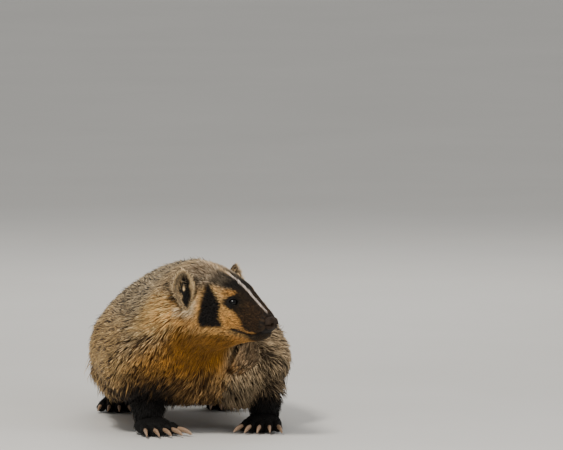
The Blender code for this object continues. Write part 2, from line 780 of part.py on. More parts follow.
def neck_form(grow=0.0):
    form = boolean(neck_core(grow), "UNION", neck_locks(grow))
    return boolean(form, "DIFFERENCE", [torso_core(grow=GAP - grow)])


def neck():
    form = neck_form()
    cuts = [ear("plug", side, GAP, plug=True) for side in (-1, 1)]
    cuts += [leg("cut", FORELEG, side, CLEAR) for side in (-1, 1)]
    cuts.append(head_form(grow=CLEAR))
    for cutter in cuts:
        boolean(form, "DIFFERENCE", [cutter])
    return finish(form)


def torso():
    form = boolean(torso_core(), "UNION", torso_locks())
    cuts = [leg("cut", stations, side, CLEAR) for side in (-1, 1) for stations in (FORELEG, HINDLEG)]
    cuts += [tail_form(CLEAR), neck_form(CLEAR)]
    cuts += [ear("plug", side, GAP, plug=True) for side in (-1, 1)]
    for cutter in cuts:
        boolean(form, "DIFFERENCE", [cutter])
    return finish(form)


def tail_form(grow=0.0):
    form = boolean(tail_core(grow), "UNION", tail_locks(grow))
    return boolean(form, "DIFFERENCE", [torso_core(grow=GAP - grow)])


def main():
    clear_scene()
    head()
    nose_pad()
    for name, side in (("right", -1), ("left", 1)):
        finish(eyeball(f"eye_{name}", side, EYE_RADIUS))
        finish(ear(f"ear_{name}", side))
        finish(leg(f"foreleg_{name}", FORELEG, side))
        finish(leg(f"hindleg_{name}", HINDLEG, side))
    paw("forepaw_right", -1, (0.0750, FORELEG_PLACE[-1]), math.radians(16), 0.048, 0.046, 0.029, 0.025)
    paw("forepaw_left", 1, (0.0750, FORELEG_PLACE[1]), math.radians(-18), 0.048, 0.046, 0.029, 0.025)
    paw("hindpaw_right", -1, (0.0640, 0.291), math.radians(-8), 0.060, 0.042, 0.036, 0.013)
    paw("hindpaw_left", 1, (0.0640, 0.291), math.radians(8), 0.060, 0.042, 0.036, 0.013)
    torso()
    neck()
    finish(tail_form())
    on_the_floor()


if __name__ == "__main__":
    main()
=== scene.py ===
# %% [markdown]
# A young American badger, life size. It stands on four flat soles with its head turned to its left.
# The real animal is wide and low, with a loose coat of long banded hairs, so its grizzled look comes
# from thousands of pale tips over dark bands. One soft skin is made first, then the coat is set on it
# tuft by tuft, and the eyes, nose, claws and whiskers are pieces of their own.

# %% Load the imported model
import math

import bmesh
import bpy
import numpy as np
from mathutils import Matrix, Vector
from mathutils.kdtree import KDTree


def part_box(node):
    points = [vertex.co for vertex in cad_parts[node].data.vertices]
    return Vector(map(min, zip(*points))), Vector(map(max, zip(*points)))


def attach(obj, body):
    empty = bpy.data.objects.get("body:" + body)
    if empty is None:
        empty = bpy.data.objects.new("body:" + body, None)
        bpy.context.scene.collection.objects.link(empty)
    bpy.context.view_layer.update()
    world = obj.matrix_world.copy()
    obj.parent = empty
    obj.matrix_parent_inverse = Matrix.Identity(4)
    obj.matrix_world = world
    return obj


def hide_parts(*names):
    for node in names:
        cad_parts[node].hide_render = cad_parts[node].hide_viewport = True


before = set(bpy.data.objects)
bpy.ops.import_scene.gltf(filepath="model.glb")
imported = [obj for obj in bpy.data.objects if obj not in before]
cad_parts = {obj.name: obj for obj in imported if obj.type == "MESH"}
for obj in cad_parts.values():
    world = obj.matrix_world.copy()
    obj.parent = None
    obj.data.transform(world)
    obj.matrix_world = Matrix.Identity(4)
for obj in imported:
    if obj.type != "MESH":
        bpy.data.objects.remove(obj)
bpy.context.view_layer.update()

# %% [markdown]
# The trunk, neck and head are one long form along the spine. It could be sculpted, or built from
# balls, but a body that bends as one is easier to keep in proportion when it is drawn the way a boat
# is: s is the distance along the spine in metres, 0 between the shoulders, negative to the rump,
# positive to the nose. Each outline is a short table of (s, value) at the tips of the coat, and a
# smooth curve runs through each table.

# %% Outlines of the body
RUMP, RUMP_ROUNDING = -0.372, 0.10
NECK_LENGTH, TURN_START, HEAD_TURN = 0.085, -0.080, math.radians(43)
SPINE_X, SKULL_BASE = -0.002, (-0.007, -0.078)
HEAD_FRONT, MUZZLE_ROUNDING, CHEST_TURN = 0.182, 0.012, 0.30
TURN = 2 * math.pi

TOP_LINE = [
    (-0.372, 0.146), (-0.300, 0.164), (-0.240, 0.181), (-0.180, 0.196), (-0.100, 0.206),
    (-0.030, 0.213), (0.030, 0.217), (0.065, 0.221), (0.085, 0.219), (0.105, 0.2105),
    (0.125, 0.2015), (0.138, 0.1925), (0.156, 0.1770), (0.167, 0.1680), (0.176, 0.1605), (0.182, 0.1560),
]
UNDER_LINE = [
    (-0.372, 0.050), (-0.300, 0.040), (-0.180, 0.035), (-0.060, 0.033), (0.000, 0.034),
    (0.030, 0.048), (0.060, 0.084), (0.085, 0.110), (0.105, 0.116), (0.125, 0.1205),
    (0.145, 0.1245), (0.160, 0.1262), (0.167, 0.1290), (0.1705, 0.1350), (0.182, 0.1385),
]
HALF_WIDTH = [
    (-0.372, 0.082), (-0.300, 0.094), (-0.240, 0.105), (-0.180, 0.114), (-0.100, 0.121),
    (-0.040, 0.122), (0.000, 0.115), (0.025, 0.102), (0.050, 0.080), (0.070, 0.064), (0.085, 0.057),
    (0.105, 0.051), (0.125, 0.039), (0.138, 0.031), (0.155, 0.0235), (0.170, 0.0180), (0.182, 0.0150),
]
WIDEST_HEIGHT = [
    (-0.372, 0.096), (-0.300, 0.090), (-0.180, 0.084), (0.000, 0.086), (0.030, 0.106),
    (0.060, 0.140), (0.085, 0.154), (0.138, 0.151), (0.170, 0.1475), (0.182, 0.1465),
]
ROOF_POWER = [(-0.372, 1.80), (-0.180, 1.58), (0.000, 1.45), (0.060, 1.85), (0.085, 2.10), (0.182, 2.30)]
KEEL_POWER = [(-0.372, 2.20), (-0.180, 2.35), (0.000, 2.40), (0.060, 2.10), (0.182, 2.50)]
SKIN_DEPTH = [
    (-0.372, 0.0150), (-0.020, 0.0150), (0.030, 0.0125), (0.060, 0.0095), (0.085, 0.0062),
    (0.105, 0.0044), (0.125, 0.0030), (0.145, 0.0016), (0.165, 0.0010), (0.182, 0.0006),
]
HEAD_RELIEF = [
    (0.1385, 0.0250, 0.176, 0.0095, -0.0020), (0.132, 0.0210, 0.187, 0.0085, 0.0018),
    (0.108, 0.0470, 0.150, 0.0240, 0.0040), (0.168, 0.0170, 0.145, 0.0110, 0.0014),
    (0.150, 0.0120, 0.185, 0.0120, 0.0010),
]
MOUTH_LINE = [(0.139, 0.1424), (0.147, 0.1398), (0.155, 0.1374), (0.163, 0.1356), (0.1725, 0.1382)]
print("outline tables:", len(TOP_LINE), len(UNDER_LINE), len(HALF_WIDTH))

# %% [markdown]
# A table gives few points, and the animal has no corners. Straight lines between the points would show
# as rings in the coat, and an ordinary smooth curve swings past its points, so this one never
# overshoots. The spine runs straight along the trunk, then bends to the side where the head looks.

# %% Smooth curves and the spine
def through(knots, s):
    """The value at s of a smooth curve through the knots that never overshoots them."""
    at, values = np.array(knots).T
    slope = np.diff(values) / np.diff(at)
    total = slope[:-1] + slope[1:]
    total = np.where(np.abs(total) < 1e-12, 1.0, total)
    inner = np.where(slope[:-1] * slope[1:] > 0, 2 * slope[:-1] * slope[1:] / total, 0.0)
    tangent = np.concatenate([slope[:1], inner, slope[-1:]])
    s = np.clip(s, at[0], at[-1])
    i = np.clip(np.searchsorted(at, s) - 1, 0, len(slope) - 1)
    width = at[i + 1] - at[i]
    t = (s - at[i]) / width
    return between(values[i], tangent[i], values[i + 1], tangent[i + 1], width, t)


def between(start, start_way, end, end_way, width, t):
    """A smooth curve from start to end over a width, with the ways that it leaves and arrives."""
    return ((1 + 2 * t) * (1 - t) ** 2 * start + t * (1 - t) ** 2 * width * start_way
            + t * t * (3 - 2 * t) * end + t * t * (t - 1) * width * end_way)


def smooth_step(value, low=0.0, high=1.0):
    value = np.clip((np.asarray(value, float) - low) / (high - low), 0.0, 1.0)
    return value * value * (3 - 2 * value)


def spine(s):
    """The spine's place in plan for an array of s, and the way that each section faces."""
    s = np.asarray(s, float)
    start, skull = np.array([SPINE_X, -TURN_START]), np.array(SKULL_BASE)
    straight_on, turned = np.array([0.0, -1.0]), np.array([math.sin(HEAD_TURN), -math.cos(HEAD_TURN)])
    length = NECK_LENGTH - TURN_START
    t = np.clip((s - TURN_START) / length, 0.0, 1.0)
    place = between(start, straight_on, skull, turned, length, t[..., None])
    place = place + np.minimum(s - TURN_START, 0.0)[..., None] * straight_on
    place = place + np.maximum(s - NECK_LENGTH, 0.0)[..., None] * turned
    return place, HEAD_TURN * t * t * (3 - 2 * t)


def section_turn(s, height):
    """The turn of a section at a height: the chest stays square under the turned head."""
    _, yaw = spine(s)
    low = CHEST_TURN + (1 - CHEST_TURN) * smooth_step(height, 0.070, 0.155)
    return yaw * (low + (1 - low) * smooth_step(s, 0.030, 0.080))


print("nose in plan", spine(HEAD_FRONT)[0].round(4))


# %% [markdown]
# A section through a badger is neither round nor square: flat below and domed above. A circle would be
# simpler, but it looks like a barrel. So every section has its own fullness for roof and keel, brow,
# cheeks and lips are small swellings on it, and the shut mouth is a groove.

# %% The surface of the body
MOUTH_DEPTH, MOUTH_HALF = 0.0030, 0.0009
LIP_RISE, LIP_BELOW, LIP_HALF = 0.0007, 0.0028, 0.0016


def power(value, exponent):
    return np.sign(value) * np.abs(value) ** exponent


def body_surface(s, theta, out):
    """Points of the body at s and theta, moved outwards from the coat's tips by out."""
    s, theta, out = np.broadcast_arrays(np.asarray(s, float), theta, out)
    out = out.copy()
    place, _ = spine(s)
    end = np.ones(s.shape)
    back = (RUMP + RUMP_ROUNDING - s) / (RUMP_ROUNDING + out)
    front = (s - HEAD_FRONT + MUZZLE_ROUNDING) / (MUZZLE_ROUNDING + np.where(s > 0.1, out, 0.0))
    for past in (back, front):
        end = np.where(past > 0, np.sqrt(np.clip(1 - past**2, 0, 1)), end)
    sine, cosine = np.sin(theta), np.cos(theta)
    widest = through(WIDEST_HEIGHT, s)
    bend = np.where(cosine > 0, through(ROOF_POWER, s), through(KEEL_POWER, s))
    edge = np.where(cosine > 0, through(TOP_LINE, s), through(UNDER_LINE, s))
    wide, high = through(HALF_WIDTH, s), np.abs(edge - widest)
    across, up = power(sine, 2 / bend), power(cosine, 2 / bend)
    normal = np.stack([power(across, bend - 1) / wide, power(up, bend - 1) / high])
    normal /= np.linalg.norm(normal, axis=0)
    across, up = wide * across, high * up
    for at, side, height, radius, amount in HEAD_RELIEF:
        far = (s - at) ** 2 + (np.abs(across) - side) ** 2 + (widest + up - height) ** 2
        out += amount * np.exp(-far / radius**2)
    off_line = widest + up - through(MOUTH_LINE, s)
    mouth = smooth_step(s, 0.1375, 0.146) * (1 - smooth_step(s, 0.1705, 0.1735)) * (np.abs(sine) > 0.2)
    groove = -MOUTH_DEPTH * np.exp(-(off_line / MOUTH_HALF) ** 2)
    out += mouth * (groove + LIP_RISE * np.exp(-((off_line + LIP_BELOW) / LIP_HALF) ** 2))
    across, up = (across + out * normal[0]) * end, widest + (up + out * normal[1]) * end
    turn = section_turn(s, up)
    return np.stack([place[..., 0] + np.cos(turn) * across, place[..., 1] + np.sin(turn) * across, up], -1)


def head_point(forward, across, up):
    """A point from the head's own axes: forward is s, across is to the badger's left."""
    place, _ = spine(forward)
    return Vector((place[0] + math.cos(HEAD_TURN) * across, place[1] + math.sin(HEAD_TURN) * across, up))


def head_direction(forward, across, up):
    level = (forward * math.sin(HEAD_TURN) + across * math.cos(HEAD_TURN),
             -forward * math.cos(HEAD_TURN) + across * math.sin(HEAD_TURN))
    return Vector((*level, up)).normalized()


print("nose end", body_surface(0.180, 0.0, 0.0))


# %% [markdown]
# All forms come down to a few ways to make a mesh: rings that are joined to a closed body, balls and
# tapering rods made of such rings, and booleans that join or cut them. Blender has balls and rods of
# its own, but rings let every form keep its own section, and the same helper closes them all.

# %% Helpers for meshes
def add_object(name, data):
    """Puts a new object with this data into the scene."""
    made = bpy.data.objects.new(name, data)
    bpy.context.scene.collection.objects.link(made)
    return made


def mesh_piece(name, points, faces):
    """A piece from arrays of points and of faces that all have as many corners."""
    mesh = bpy.data.meshes.new(name)
    faces = np.asarray(faces, np.int32)
    mesh.vertices.add(len(points))
    mesh.vertices.foreach_set("co", np.asarray(points, np.float32).ravel())
    mesh.loops.add(faces.size)
    mesh.loops.foreach_set("vertex_index", faces.ravel())
    mesh.polygons.add(len(faces))
    mesh.polygons.foreach_set("loop_start", np.arange(0, faces.size, faces.shape[1], dtype=np.int32))
    mesh.update(calc_edges=True)
    return add_object(name, mesh)


def loft(name, rings):
    """A closed body through an array of rings, each end closed about its middle point."""
    rings = np.asarray(rings, float)
    rows, count = rings.shape[:2]
    i = np.arange(count)
    j = (i + 1) % count
    faces = []
    for row in range(rows - 1):
        a, b = row * count, (row + 1) * count
        faces += [np.stack([a + i, a + j, b + j], 1), np.stack([a + i, b + j, b + i], 1)]
    last, middle = (rows - 1) * count, rows * count
    faces.append(np.stack([j, i, np.full(count, middle)], 1))
    faces.append(np.stack([last + i, last + j, np.full(count, middle + 1)], 1))
    points = np.concatenate([rings.reshape(-1, 3), rings[0].mean(0)[None], rings[-1].mean(0)[None]])
    piece = mesh_piece(name, points, np.concatenate(faces))
    made = bmesh.new()
    made.from_mesh(piece.data)
    bmesh.ops.recalc_face_normals(made, faces=made.faces)
    made.to_mesh(piece.data)
    made.free()
    return piece


def finished(piece):
    """Applies a piece's modifiers to its mesh."""
    graph = bpy.context.evaluated_depsgraph_get()
    mesh = bpy.data.meshes.new_from_object(piece.evaluated_get(graph))
    piece.modifiers.clear()
    piece.data = mesh
    return piece


def boolean(piece, operation, others):
    """Joins the piece with others or cuts them from it, and removes them."""
    for other in others:
        cut = piece.modifiers.new(operation, "BOOLEAN")
        cut.operation, cut.solver, cut.object = operation, "MANIFOLD", other
        finished(piece)
        bpy.data.objects.remove(other)
    return piece


def paint(piece, colours):
    """Stores a colour at each point of a piece, for its material to read, and shades it smooth."""
    layer = piece.data.color_attributes.new("coat", "FLOAT_COLOR", "POINT")
    colours = np.concatenate([colours, np.ones((len(colours), 1))], 1)
    layer.data.foreach_set("color", colours.astype(np.float32).ravel())
    shade_smooth(piece)


def shade_smooth(piece):
    piece.data.polygons.foreach_set("use_smooth", np.ones(len(piece.data.polygons), bool))


def shape_of(piece):
    """The points and triangles of a piece, on which a coat is set later."""
    piece.data.calc_loop_triangles()
    triangles = np.array([t.vertices[:] for t in piece.data.loop_triangles])
    return np.array([v.co for v in piece.data.vertices]), triangles


# %% [markdown]
# Toes, lids, ear stems and the nose are balls and rods of all sizes. Each takes its own axes, so that a
# form is turned and stretched in one step.

# %% Rounded forms
def full_turn(count):
    """Angles at even steps round a full turn."""
    return np.linspace(0, TURN, count, endpoint=False)


def upright(direction):
    """Two directions square to the given one: one near level, one near upright."""
    level = Vector((0, 0, 1)).cross(direction).normalized()
    return level, direction.cross(level).normalized()


def straight(x, y, z):
    """Three half axes along X, Y and Z."""
    return [Vector((x, 0, 0)), Vector((0, y, 0)), Vector((0, 0, z))]


def ball(name, centre, axes, rows=24, around=36, bend=2.0):
    """A closed rounded form about a centre, with its three half axes as vectors."""
    latitude = np.linspace(0.04, math.pi - 0.04, rows)[:, None]
    turn = full_turn(around)[None]
    level = power(np.sin(latitude), 2 / bend)
    parts = (level * power(np.cos(turn), 2 / bend), level * power(np.sin(turn), 2 / bend),
             power(np.cos(latitude), 2 / bend) * np.ones_like(turn))
    rings = np.array(centre) + sum(part[..., None] * np.array(axis) for part, axis in zip(parts, axes))
    return loft(name, rings)


def tube(name, points, radii, around=16, flat=1.0):
    """A closed tapering rod through the points."""
    rings = []
    sine, cosine = np.sin(full_turn(around))[:, None], np.cos(full_turn(around))[:, None]
    for i, (point, radius) in enumerate(zip(points, radii)):
        way = Vector(points[min(i + 1, len(points) - 1)]) - Vector(points[max(i - 1, 0)])
        level, rise = (np.array(v) for v in upright(way.normalized()))
        rings.append(np.array(point) + level * radius * cosine + rise * radius * flat * sine)
    return loft(name, rings)


def smooth_path(points, count):
    """More points along a path, on a smooth curve through the given ones."""
    points = np.array([list(p) for p in points])
    at = np.linspace(0, len(points) - 1, len(points))
    fine = np.linspace(0, at[-1], count)
    return np.stack([through(list(zip(at, points[:, k])), fine) for k in range(3)], 1)


print("steps of an eighth turn", full_turn(8).round(2))

# %% [markdown]
# The skin is what the coat grows from. On a real badger it is loose and hidden, so it could be left
# out, but then light would fall through the parting between hairs. It lies as deep under the outline
# as the coat is long: some 14 mm on the back, next to nothing on the muzzle. Trunk, neck and head are
# one lofted form, because its rings come straight from the tables above.

# %% Skin of the trunk, neck and head
EYE_FORWARD, EYE_HEIGHT, EYE_RADIUS, EYE_DEPTH = 0.138, 0.1755, 0.0064, 0.0052
LID, GAP = 0.0013, 0.0002  # the lid about the eye, and the gap round eyes and nose
NOSE_CENTRE, NOSE_HALF = (0.1775, 0.1492), (0.0078, 0.0112, 0.0084)


def surface_frame(s, theta, out=0.0):
    """Place, the two directions along the surface, and the outward normal."""
    step = 1e-4
    place = body_surface(s, theta, out)
    along = (body_surface(s + step, theta, out) - body_surface(s - step, theta, out)) / (2 * step)
    around = (body_surface(s, theta + step, out) - body_surface(s, theta - step, out)) / (2 * step)
    normal = np.cross(along, around)
    normal /= np.linalg.norm(normal, axis=-1, keepdims=True) + 1e-12
    outside = ((place[..., :2] - spine(s)[0]) * normal[..., :2]).sum(-1)
    rise = (place[..., 2] - through(WIDEST_HEIGHT, s)) * normal[..., 2]
    return place, along, around, normal * np.where(outside + rise < 0, -1.0, 1.0)[..., None]


corner, muzzle = RUMP + RUMP_ROUNDING, HEAD_FRONT - MUZZLE_ROUNDING
rows = np.concatenate([
    corner - (RUMP_ROUNDING - 0.015) * np.cos(np.linspace(0.05, math.pi / 2, 26)),
    np.linspace(corner, NECK_LENGTH, 110)[1:],
    np.linspace(NECK_LENGTH, muzzle, 96)[1:],
    muzzle + (MUZZLE_ROUNDING - 0.0006) * np.sin(np.linspace(0.12, 1.45, 12)),
])
skin_rings = body_surface(rows[:, None], full_turn(224)[None], -through(SKIN_DEPTH, rows)[:, None])
skin = loft("skin", skin_rings)
print("body skin rings", skin_rings.shape)

# %% [markdown]
# A badger's eye is small and almost black, set in tight lids. The lids could be modelled round it by
# hand; here a slightly larger ball is joined to the skin, hollowed, and opened with an almond shaped
# cut, so the lid keeps an even thickness. The nose is a rounded pad let into a seat of its own shape.

# %% Eyes, lids and the seat of the nose
EYE_OPENING_HALF = (0.0060, 0.0039)


def theta_at(s, height, side):
    """The angle at which the body's surface passes a height, on one side."""
    angles = np.linspace(0.02, math.pi - 0.02, 1500)
    heights = body_surface(np.full(angles.shape, s), angles, 0.0)[:, 2]
    return side * float(angles[np.argmin(np.abs(heights - height))])


def eye_place(side):
    """The middle of an eye and the way that it looks."""
    at = np.array(EYE_FORWARD), np.array(theta_at(EYE_FORWARD, EYE_HEIGHT, side))
    place, _, _, normal = surface_frame(*at)
    look = (Vector(normal) + 0.22 * head_direction(1, 0, 0)).normalized()
    return Vector(place) - EYE_DEPTH * Vector(normal), look


def eye_opening(side):
    """An almond shaped prism that opens the lids over the eye."""
    centre, look = eyes[side]
    level, rise = upright(look)
    level = level if level.dot(head_direction(1, 0, 0)) > 0 else -level
    level = (level - 0.12 * rise).normalized()
    rise = level.cross(look) * (1 if level.cross(look).z > 0 else -1)
    turn = full_turn(40)[:, None]
    wide = EYE_OPENING_HALF[0] * np.cos(turn)
    high = EYE_OPENING_HALF[1] * np.sin(turn) * (0.66 + 0.34 * np.abs(np.sin(turn)))
    rings = [np.array(centre + look * out) + size * (np.array(level) * wide + np.array(rise) * high)
             for out, size in ((0.001, 0.85), (0.012, 1.25))]
    return loft("opening", rings)


def round_ball(name, centre, radius, grain=1):
    return ball(name, centre, straight(radius, radius, radius), rows=24 * grain, around=36 * grain)


def nose_form(name, grow=0.0):
    length, width, height = (size + grow for size in NOSE_HALF)
    axes = [head_direction(1, 0, 0) * length, head_direction(0, 1, 0) * width, Vector((0, 0, height))]
    return ball(name, head_point(NOSE_CENTRE[0], 0, NOSE_CENTRE[1]), axes, 48, 72, bend=2.5)


eyes = {side: eye_place(side) for side in (-1, 1)}
print("eye centres", {side: tuple(round(v, 4) for v in eyes[side][0]) for side in eyes})

# %% [markdown]
# The ear is a shallow upright cup with a pale rim, on a short stem that is hidden in the coat. A flat
# leaf would do from afar, but the dark hollow is seen in this view, so the cup has a front, a rounded
# edge and a back. One rule, ear_place, says where a point lies on the cup; its hair and its colours
# use it too.

# %% Ears: a cupped shell on a short stem
EAR_FORWARD, EAR_ACROSS, EAR_HEIGHT = 0.084, 0.055, 0.190
EAR_HALF_WIDTH, EAR_HALF_HEIGHT, EAR_CUP, EAR_COAT = 0.0142, 0.0248, 0.0095, 0.0012
EAR_NARROWS, EAR_LEANS = 0.34, 0.10


def ear_frame(side):
    """The middle of an ear's rim, the way it opens, and its level and upright ways."""
    centre = head_point(EAR_FORWARD, side * EAR_ACROSS, EAR_HEIGHT)
    open_way = head_direction(0.6, side * 0.8, 0.04)
    rise = (Vector((0, 0, 1)) + 0.10 * head_direction(0, side, 0)).normalized()
    level = open_way.cross(rise).normalized()
    rise = level.cross(open_way).normalized() * (1 if level.cross(open_way).z > 0 else -1)
    return tuple(np.array(v) for v in (centre, open_way, level, rise))


def ear_fore(side):
    """1 where the ear's level way points forward, else -1."""
    return np.sign(ear_frame(side)[2] @ np.array(head_direction(1, 0, 0)))


def ear_place(points, side):
    """Forward and upward places on the cup of an ear, as parts of its half axes, and the depth."""
    centre, open_way, level, rise = ear_frame(side)
    away = points - centre
    y = away @ rise / EAR_HALF_HEIGHT
    below = np.clip(-y, 0, 1) ** 1.5
    forward = away @ level / EAR_HALF_WIDTH * ear_fore(side)
    return (forward - EAR_LEANS * below) / (1 - EAR_NARROWS * below), y, away @ open_way


def ear(side):
    centre, open_way, level, rise = ear_frame(side)
    front = [(r, 0.0) for r in (0.08, 0.2, 0.36, 0.52, 0.68, 0.8, 0.9, 0.96)]
    back = [(0.985, 0.5), (0.96, 0.9), (0.88, 1.0), (0.74, 1.0), (0.56, 1.0), (0.38, 1.0), (0.15, 1.0)]
    turn = full_turn(56)[:, None]
    sine, cosine = np.sin(turn), np.cos(turn)
    above, below = np.maximum(sine, 0.0) ** 2, np.maximum(-sine, 0.0) ** 1.5
    outline = cosine * (1 - 0.06 * above - EAR_NARROWS * below) + EAR_LEANS * ear_fore(side) * below
    rings = []
    for radius, layer in front + back:
        thick = 0.0016 + 0.0034 * (1 - radius)
        depth = -EAR_CUP * (1 - radius**2.2) - thick * layer
        scale = radius * (1 - EAR_COAT / EAR_HALF_WIDTH)
        wide, high = EAR_HALF_WIDTH * scale * outline, EAR_HALF_HEIGHT * scale * sine
        curl = 0.0035 * cosine**2 * radius + 0.0010 * np.sin(3 * turn + side) * radius**4 * (radius < 0.97)
        rings.append(centre + level * wide + rise * high + open_way * (depth + curl - 0.0004))
    return loft("ear", rings)


def ear_stem(side):
    centre, open_way, level, rise = (Vector(v) for v in ear_frame(side))
    middle = centre - open_way * 0.0175 - rise * 0.004
    return ball("stem", middle, [level * 0.0100, rise * 0.0170, open_way * 0.0110], 18, 28)


print("ear centre", ear_frame(-1)[0].round(4))

# %% [markdown]
# Badgers walk on the whole sole. Each foot is a low pad with five toes, and the long claws of the
# fore feet run forward and down until they touch the floor. The legs are short tables of sections, so
# that their thickness can be read off, and the toes are tapering rods joined to the pad.

# %% Legs, feet and tail
FORELEG = [
    (0.0183, 0.0750, 0.000, 0.0185, 0.0190), (0.030, 0.0750, 0.002, 0.0215, 0.0225),
    (0.048, 0.0740, 0.010, 0.0245, 0.0260), (0.068, 0.0650, 0.026, 0.0250, 0.0290),
    (0.088, 0.0500, 0.040, 0.0240, 0.0300),
]
HINDLEG = [
    (0.0183, 0.0640, 0.291, 0.0170, 0.0230), (0.032, 0.0640, 0.286, 0.0215, 0.0290),
    (0.050, 0.0600, 0.276, 0.0260, 0.0350), (0.072, 0.0520, 0.260, 0.0270, 0.0390),
    (0.095, 0.0420, 0.245, 0.0240, 0.0380),
]
FORELEG_PLACE = {-1: -0.012, 1: 0.004}
TAIL = [
    (0.330, 0.128, 0.0120), (0.362, 0.116, 0.0125), (0.395, 0.102, 0.0120),
    (0.425, 0.088, 0.0105), (0.448, 0.074, 0.0075), (0.462, 0.063, 0.0030),
]
TAIL_LENGTH, TAIL_END_BACK, TAIL_END_DOWN = 0.135, 0.72, 0.69
LEG_COAT, FOOT_COAT, PALM_HEIGHT, PALM_HALF = 0.0030, 0.0009, 0.0105, 0.0125
TOE_SPREAD, TOE_LOW, TOE_RADII = math.radians(20), 0.0066, [0.0045, 0.0060, 0.0055, 0.0026]
# Each paw: its place, the way it turns, its length and width, and the reach of its toes and claws.
PAWS = {
    "forepaw_right": ((-0.0750, -0.012), math.radians(16), 0.048, 0.046, 0.029, 0.025),
    "forepaw_left": ((0.0750, 0.004), math.radians(-18), 0.048, 0.046, 0.029, 0.025),
    "hindpaw_right": ((-0.0640, 0.291), math.radians(-8), 0.060, 0.042, 0.036, 0.013),
    "hindpaw_left": ((0.0640, 0.291), math.radians(8), 0.060, 0.042, 0.036, 0.013),
}


def leg(stations, side):
    """A limb from inside the foot up into the body."""
    forward = FORELEG_PLACE[side] if stations is FORELEG else 0.0
    z, x, y, a, b = np.array(stations).T
    height = np.linspace(PALM_HEIGHT, z[-1], 34)
    x, y, a, b = (through(list(zip(z, v)), height)[:, None] for v in (x, y, a, b))
    turn = full_turn(44)[None]
    rings = np.stack([side * x + (a - LEG_COAT) * np.cos(turn), forward + y + (b - LEG_COAT) * np.sin(turn),
                      height[:, None] + 0 * turn], -1)
    return loft("leg", rings)


def foot_frame(paw):
    """The ways ahead and level of a foot, its palm, and its sizes."""
    place, yaw, length, width, reach, claw = PAWS[paw]
    ahead = Vector((math.sin(yaw), -math.cos(yaw), 0.0))
    level = Vector((math.cos(yaw), math.sin(yaw), 0.0))
    palm = Vector((*place, 0.0)) + ahead * (length * 0.28) + Vector((0, 0, PALM_HEIGHT))
    return ahead, level, palm, length, width, reach, claw


def toes(paw):
    """For each toe: its root, knuckle, end and the way it points."""
    ahead, level, palm, _, width, reach, _ = foot_frame(paw)
    made = []
    for toe in range(5):
        fan = (toe - 2) / 2
        spread = TOE_SPREAD * fan
        way = ahead * math.cos(spread) + level * math.sin(spread)
        root = palm + level * fan * width * 0.30 - Vector((0, 0, 0.003))
        end = root + way * reach * (1 - 0.16 * fan * fan)
        end.z = TOE_LOW
        made.append((root, (root + end) / 2 + Vector((0, 0, 0.0035)), end, way))
    return made


def foot(paw):
    ahead, level, palm, length, width, _, _ = foot_frame(paw)
    along, across, up = length / 2 - FOOT_COAT, width / 2 - FOOT_COAT, PALM_HALF - FOOT_COAT
    axes = [ahead * along, level * across, Vector((0, 0, up))]
    pad = ball("foot", palm, axes, 26, 44, bend=2.3)
    parts = []
    for root, knuckle, end, way in toes(paw):
        path = smooth_path([root, knuckle, end, end + way * 0.0035 - Vector((0, 0, 0.001))], 12)
        radii = np.interp(np.linspace(0, 3, 12), range(4), TOE_RADII)
        parts.append(tube("toe", path, radii, 18))
    return boolean(pad, "UNION", parts)


def tail_point(part):
    """The tail's midline and core radius at each part of the way to its tip."""
    part = np.asarray(part, float)
    ys, zs, radii = np.array(TAIL).T
    at = np.clip(part, 0, 1) * (len(TAIL) - 1)
    knots = [list(zip(range(len(TAIL)), v)) for v in (ys, zs, radii)]
    y, z, radius = (through(k, at) for k in knots)
    past = np.maximum(part - 1, 0) * TAIL_LENGTH
    y, z = y + past * TAIL_END_BACK, z - past * TAIL_END_DOWN
    return np.stack([np.full(y.shape, SPINE_X), y, z], -1), radius


def floor_cut():
    """A slab that cuts the soles flat, just over the floor."""
    corners = np.array([(-1, -1), (1, -1), (1, 1), (-1, 1)])
    return loft("slab", [np.column_stack([corners, np.full(4, z)]) for z in (-0.1, 0.0001)])


tail_path, tail_radii = tail_point(np.linspace(0, 1, 40))
print("tail from", tail_path[0].round(3), "to", tail_path[-1].round(3))

# %% [markdown]
# Fur hides the joints between the parts, yet a gap in the skin would show at the armpit and under the
# tail. Laying forms over one another would be quicker; joining them with booleans gives one closed
# skin, and the shapes of the single parts are kept first, since their hair is set on them later.

# %% Join everything into one skin
FOLD_CENTRE = (0.029, 0.010, 0.089)
parts = {
    "leg": [leg(stations, side) for stations in (FORELEG, HINDLEG) for side in (-1, 1)],
    "foot": [foot(paw) for paw in PAWS],
    "ear": [ear(side) for side in (-1, 1)],
    "stem": [ear_stem(side) for side in (-1, 1)],
    "fold": [ball("fold", FOLD_CENTRE, straight(0.028, 0.026, 0.038), 28, 44)],
}
parts_of_coat = {f"{name}_{number}": shape_of(piece)
                 for name, pieces in parts.items() for number, piece in enumerate(pieces)}
points, triangles = parts_of_coat["fold_0"]
middle = points[triangles].mean(1)
outer = ((middle - FOLD_CENTRE) @ (0.45, -0.89, 0.05) > 0.004) & (np.abs(middle[:, 2] - 0.086) < 0.031)
parts_of_coat["fold_0"] = (points, triangles[outer])
for name in ("fold", "leg", "foot"):
    boolean(skin, "UNION", parts[name])
boolean(skin, "UNION", [tube("tail", tail_path, tail_radii * 0.96, 30, flat=0.85)])
for name in ("stem", "ear"):
    boolean(skin, "UNION", parts[name])
boolean(skin, "UNION", [round_ball("lid", eyes[side][0], EYE_RADIUS + LID, 2) for side in (-1, 1)])
boolean(skin, "DIFFERENCE", [round_ball("socket", eyes[side][0], EYE_RADIUS + GAP, 2) for side in (-1, 1)])
boolean(skin, "DIFFERENCE", [eye_opening(side) for side in (-1, 1)])
boolean(skin, "DIFFERENCE", [nose_form("seat", GAP), floor_cut()])
print("skin faces", len(skin.data.polygons))


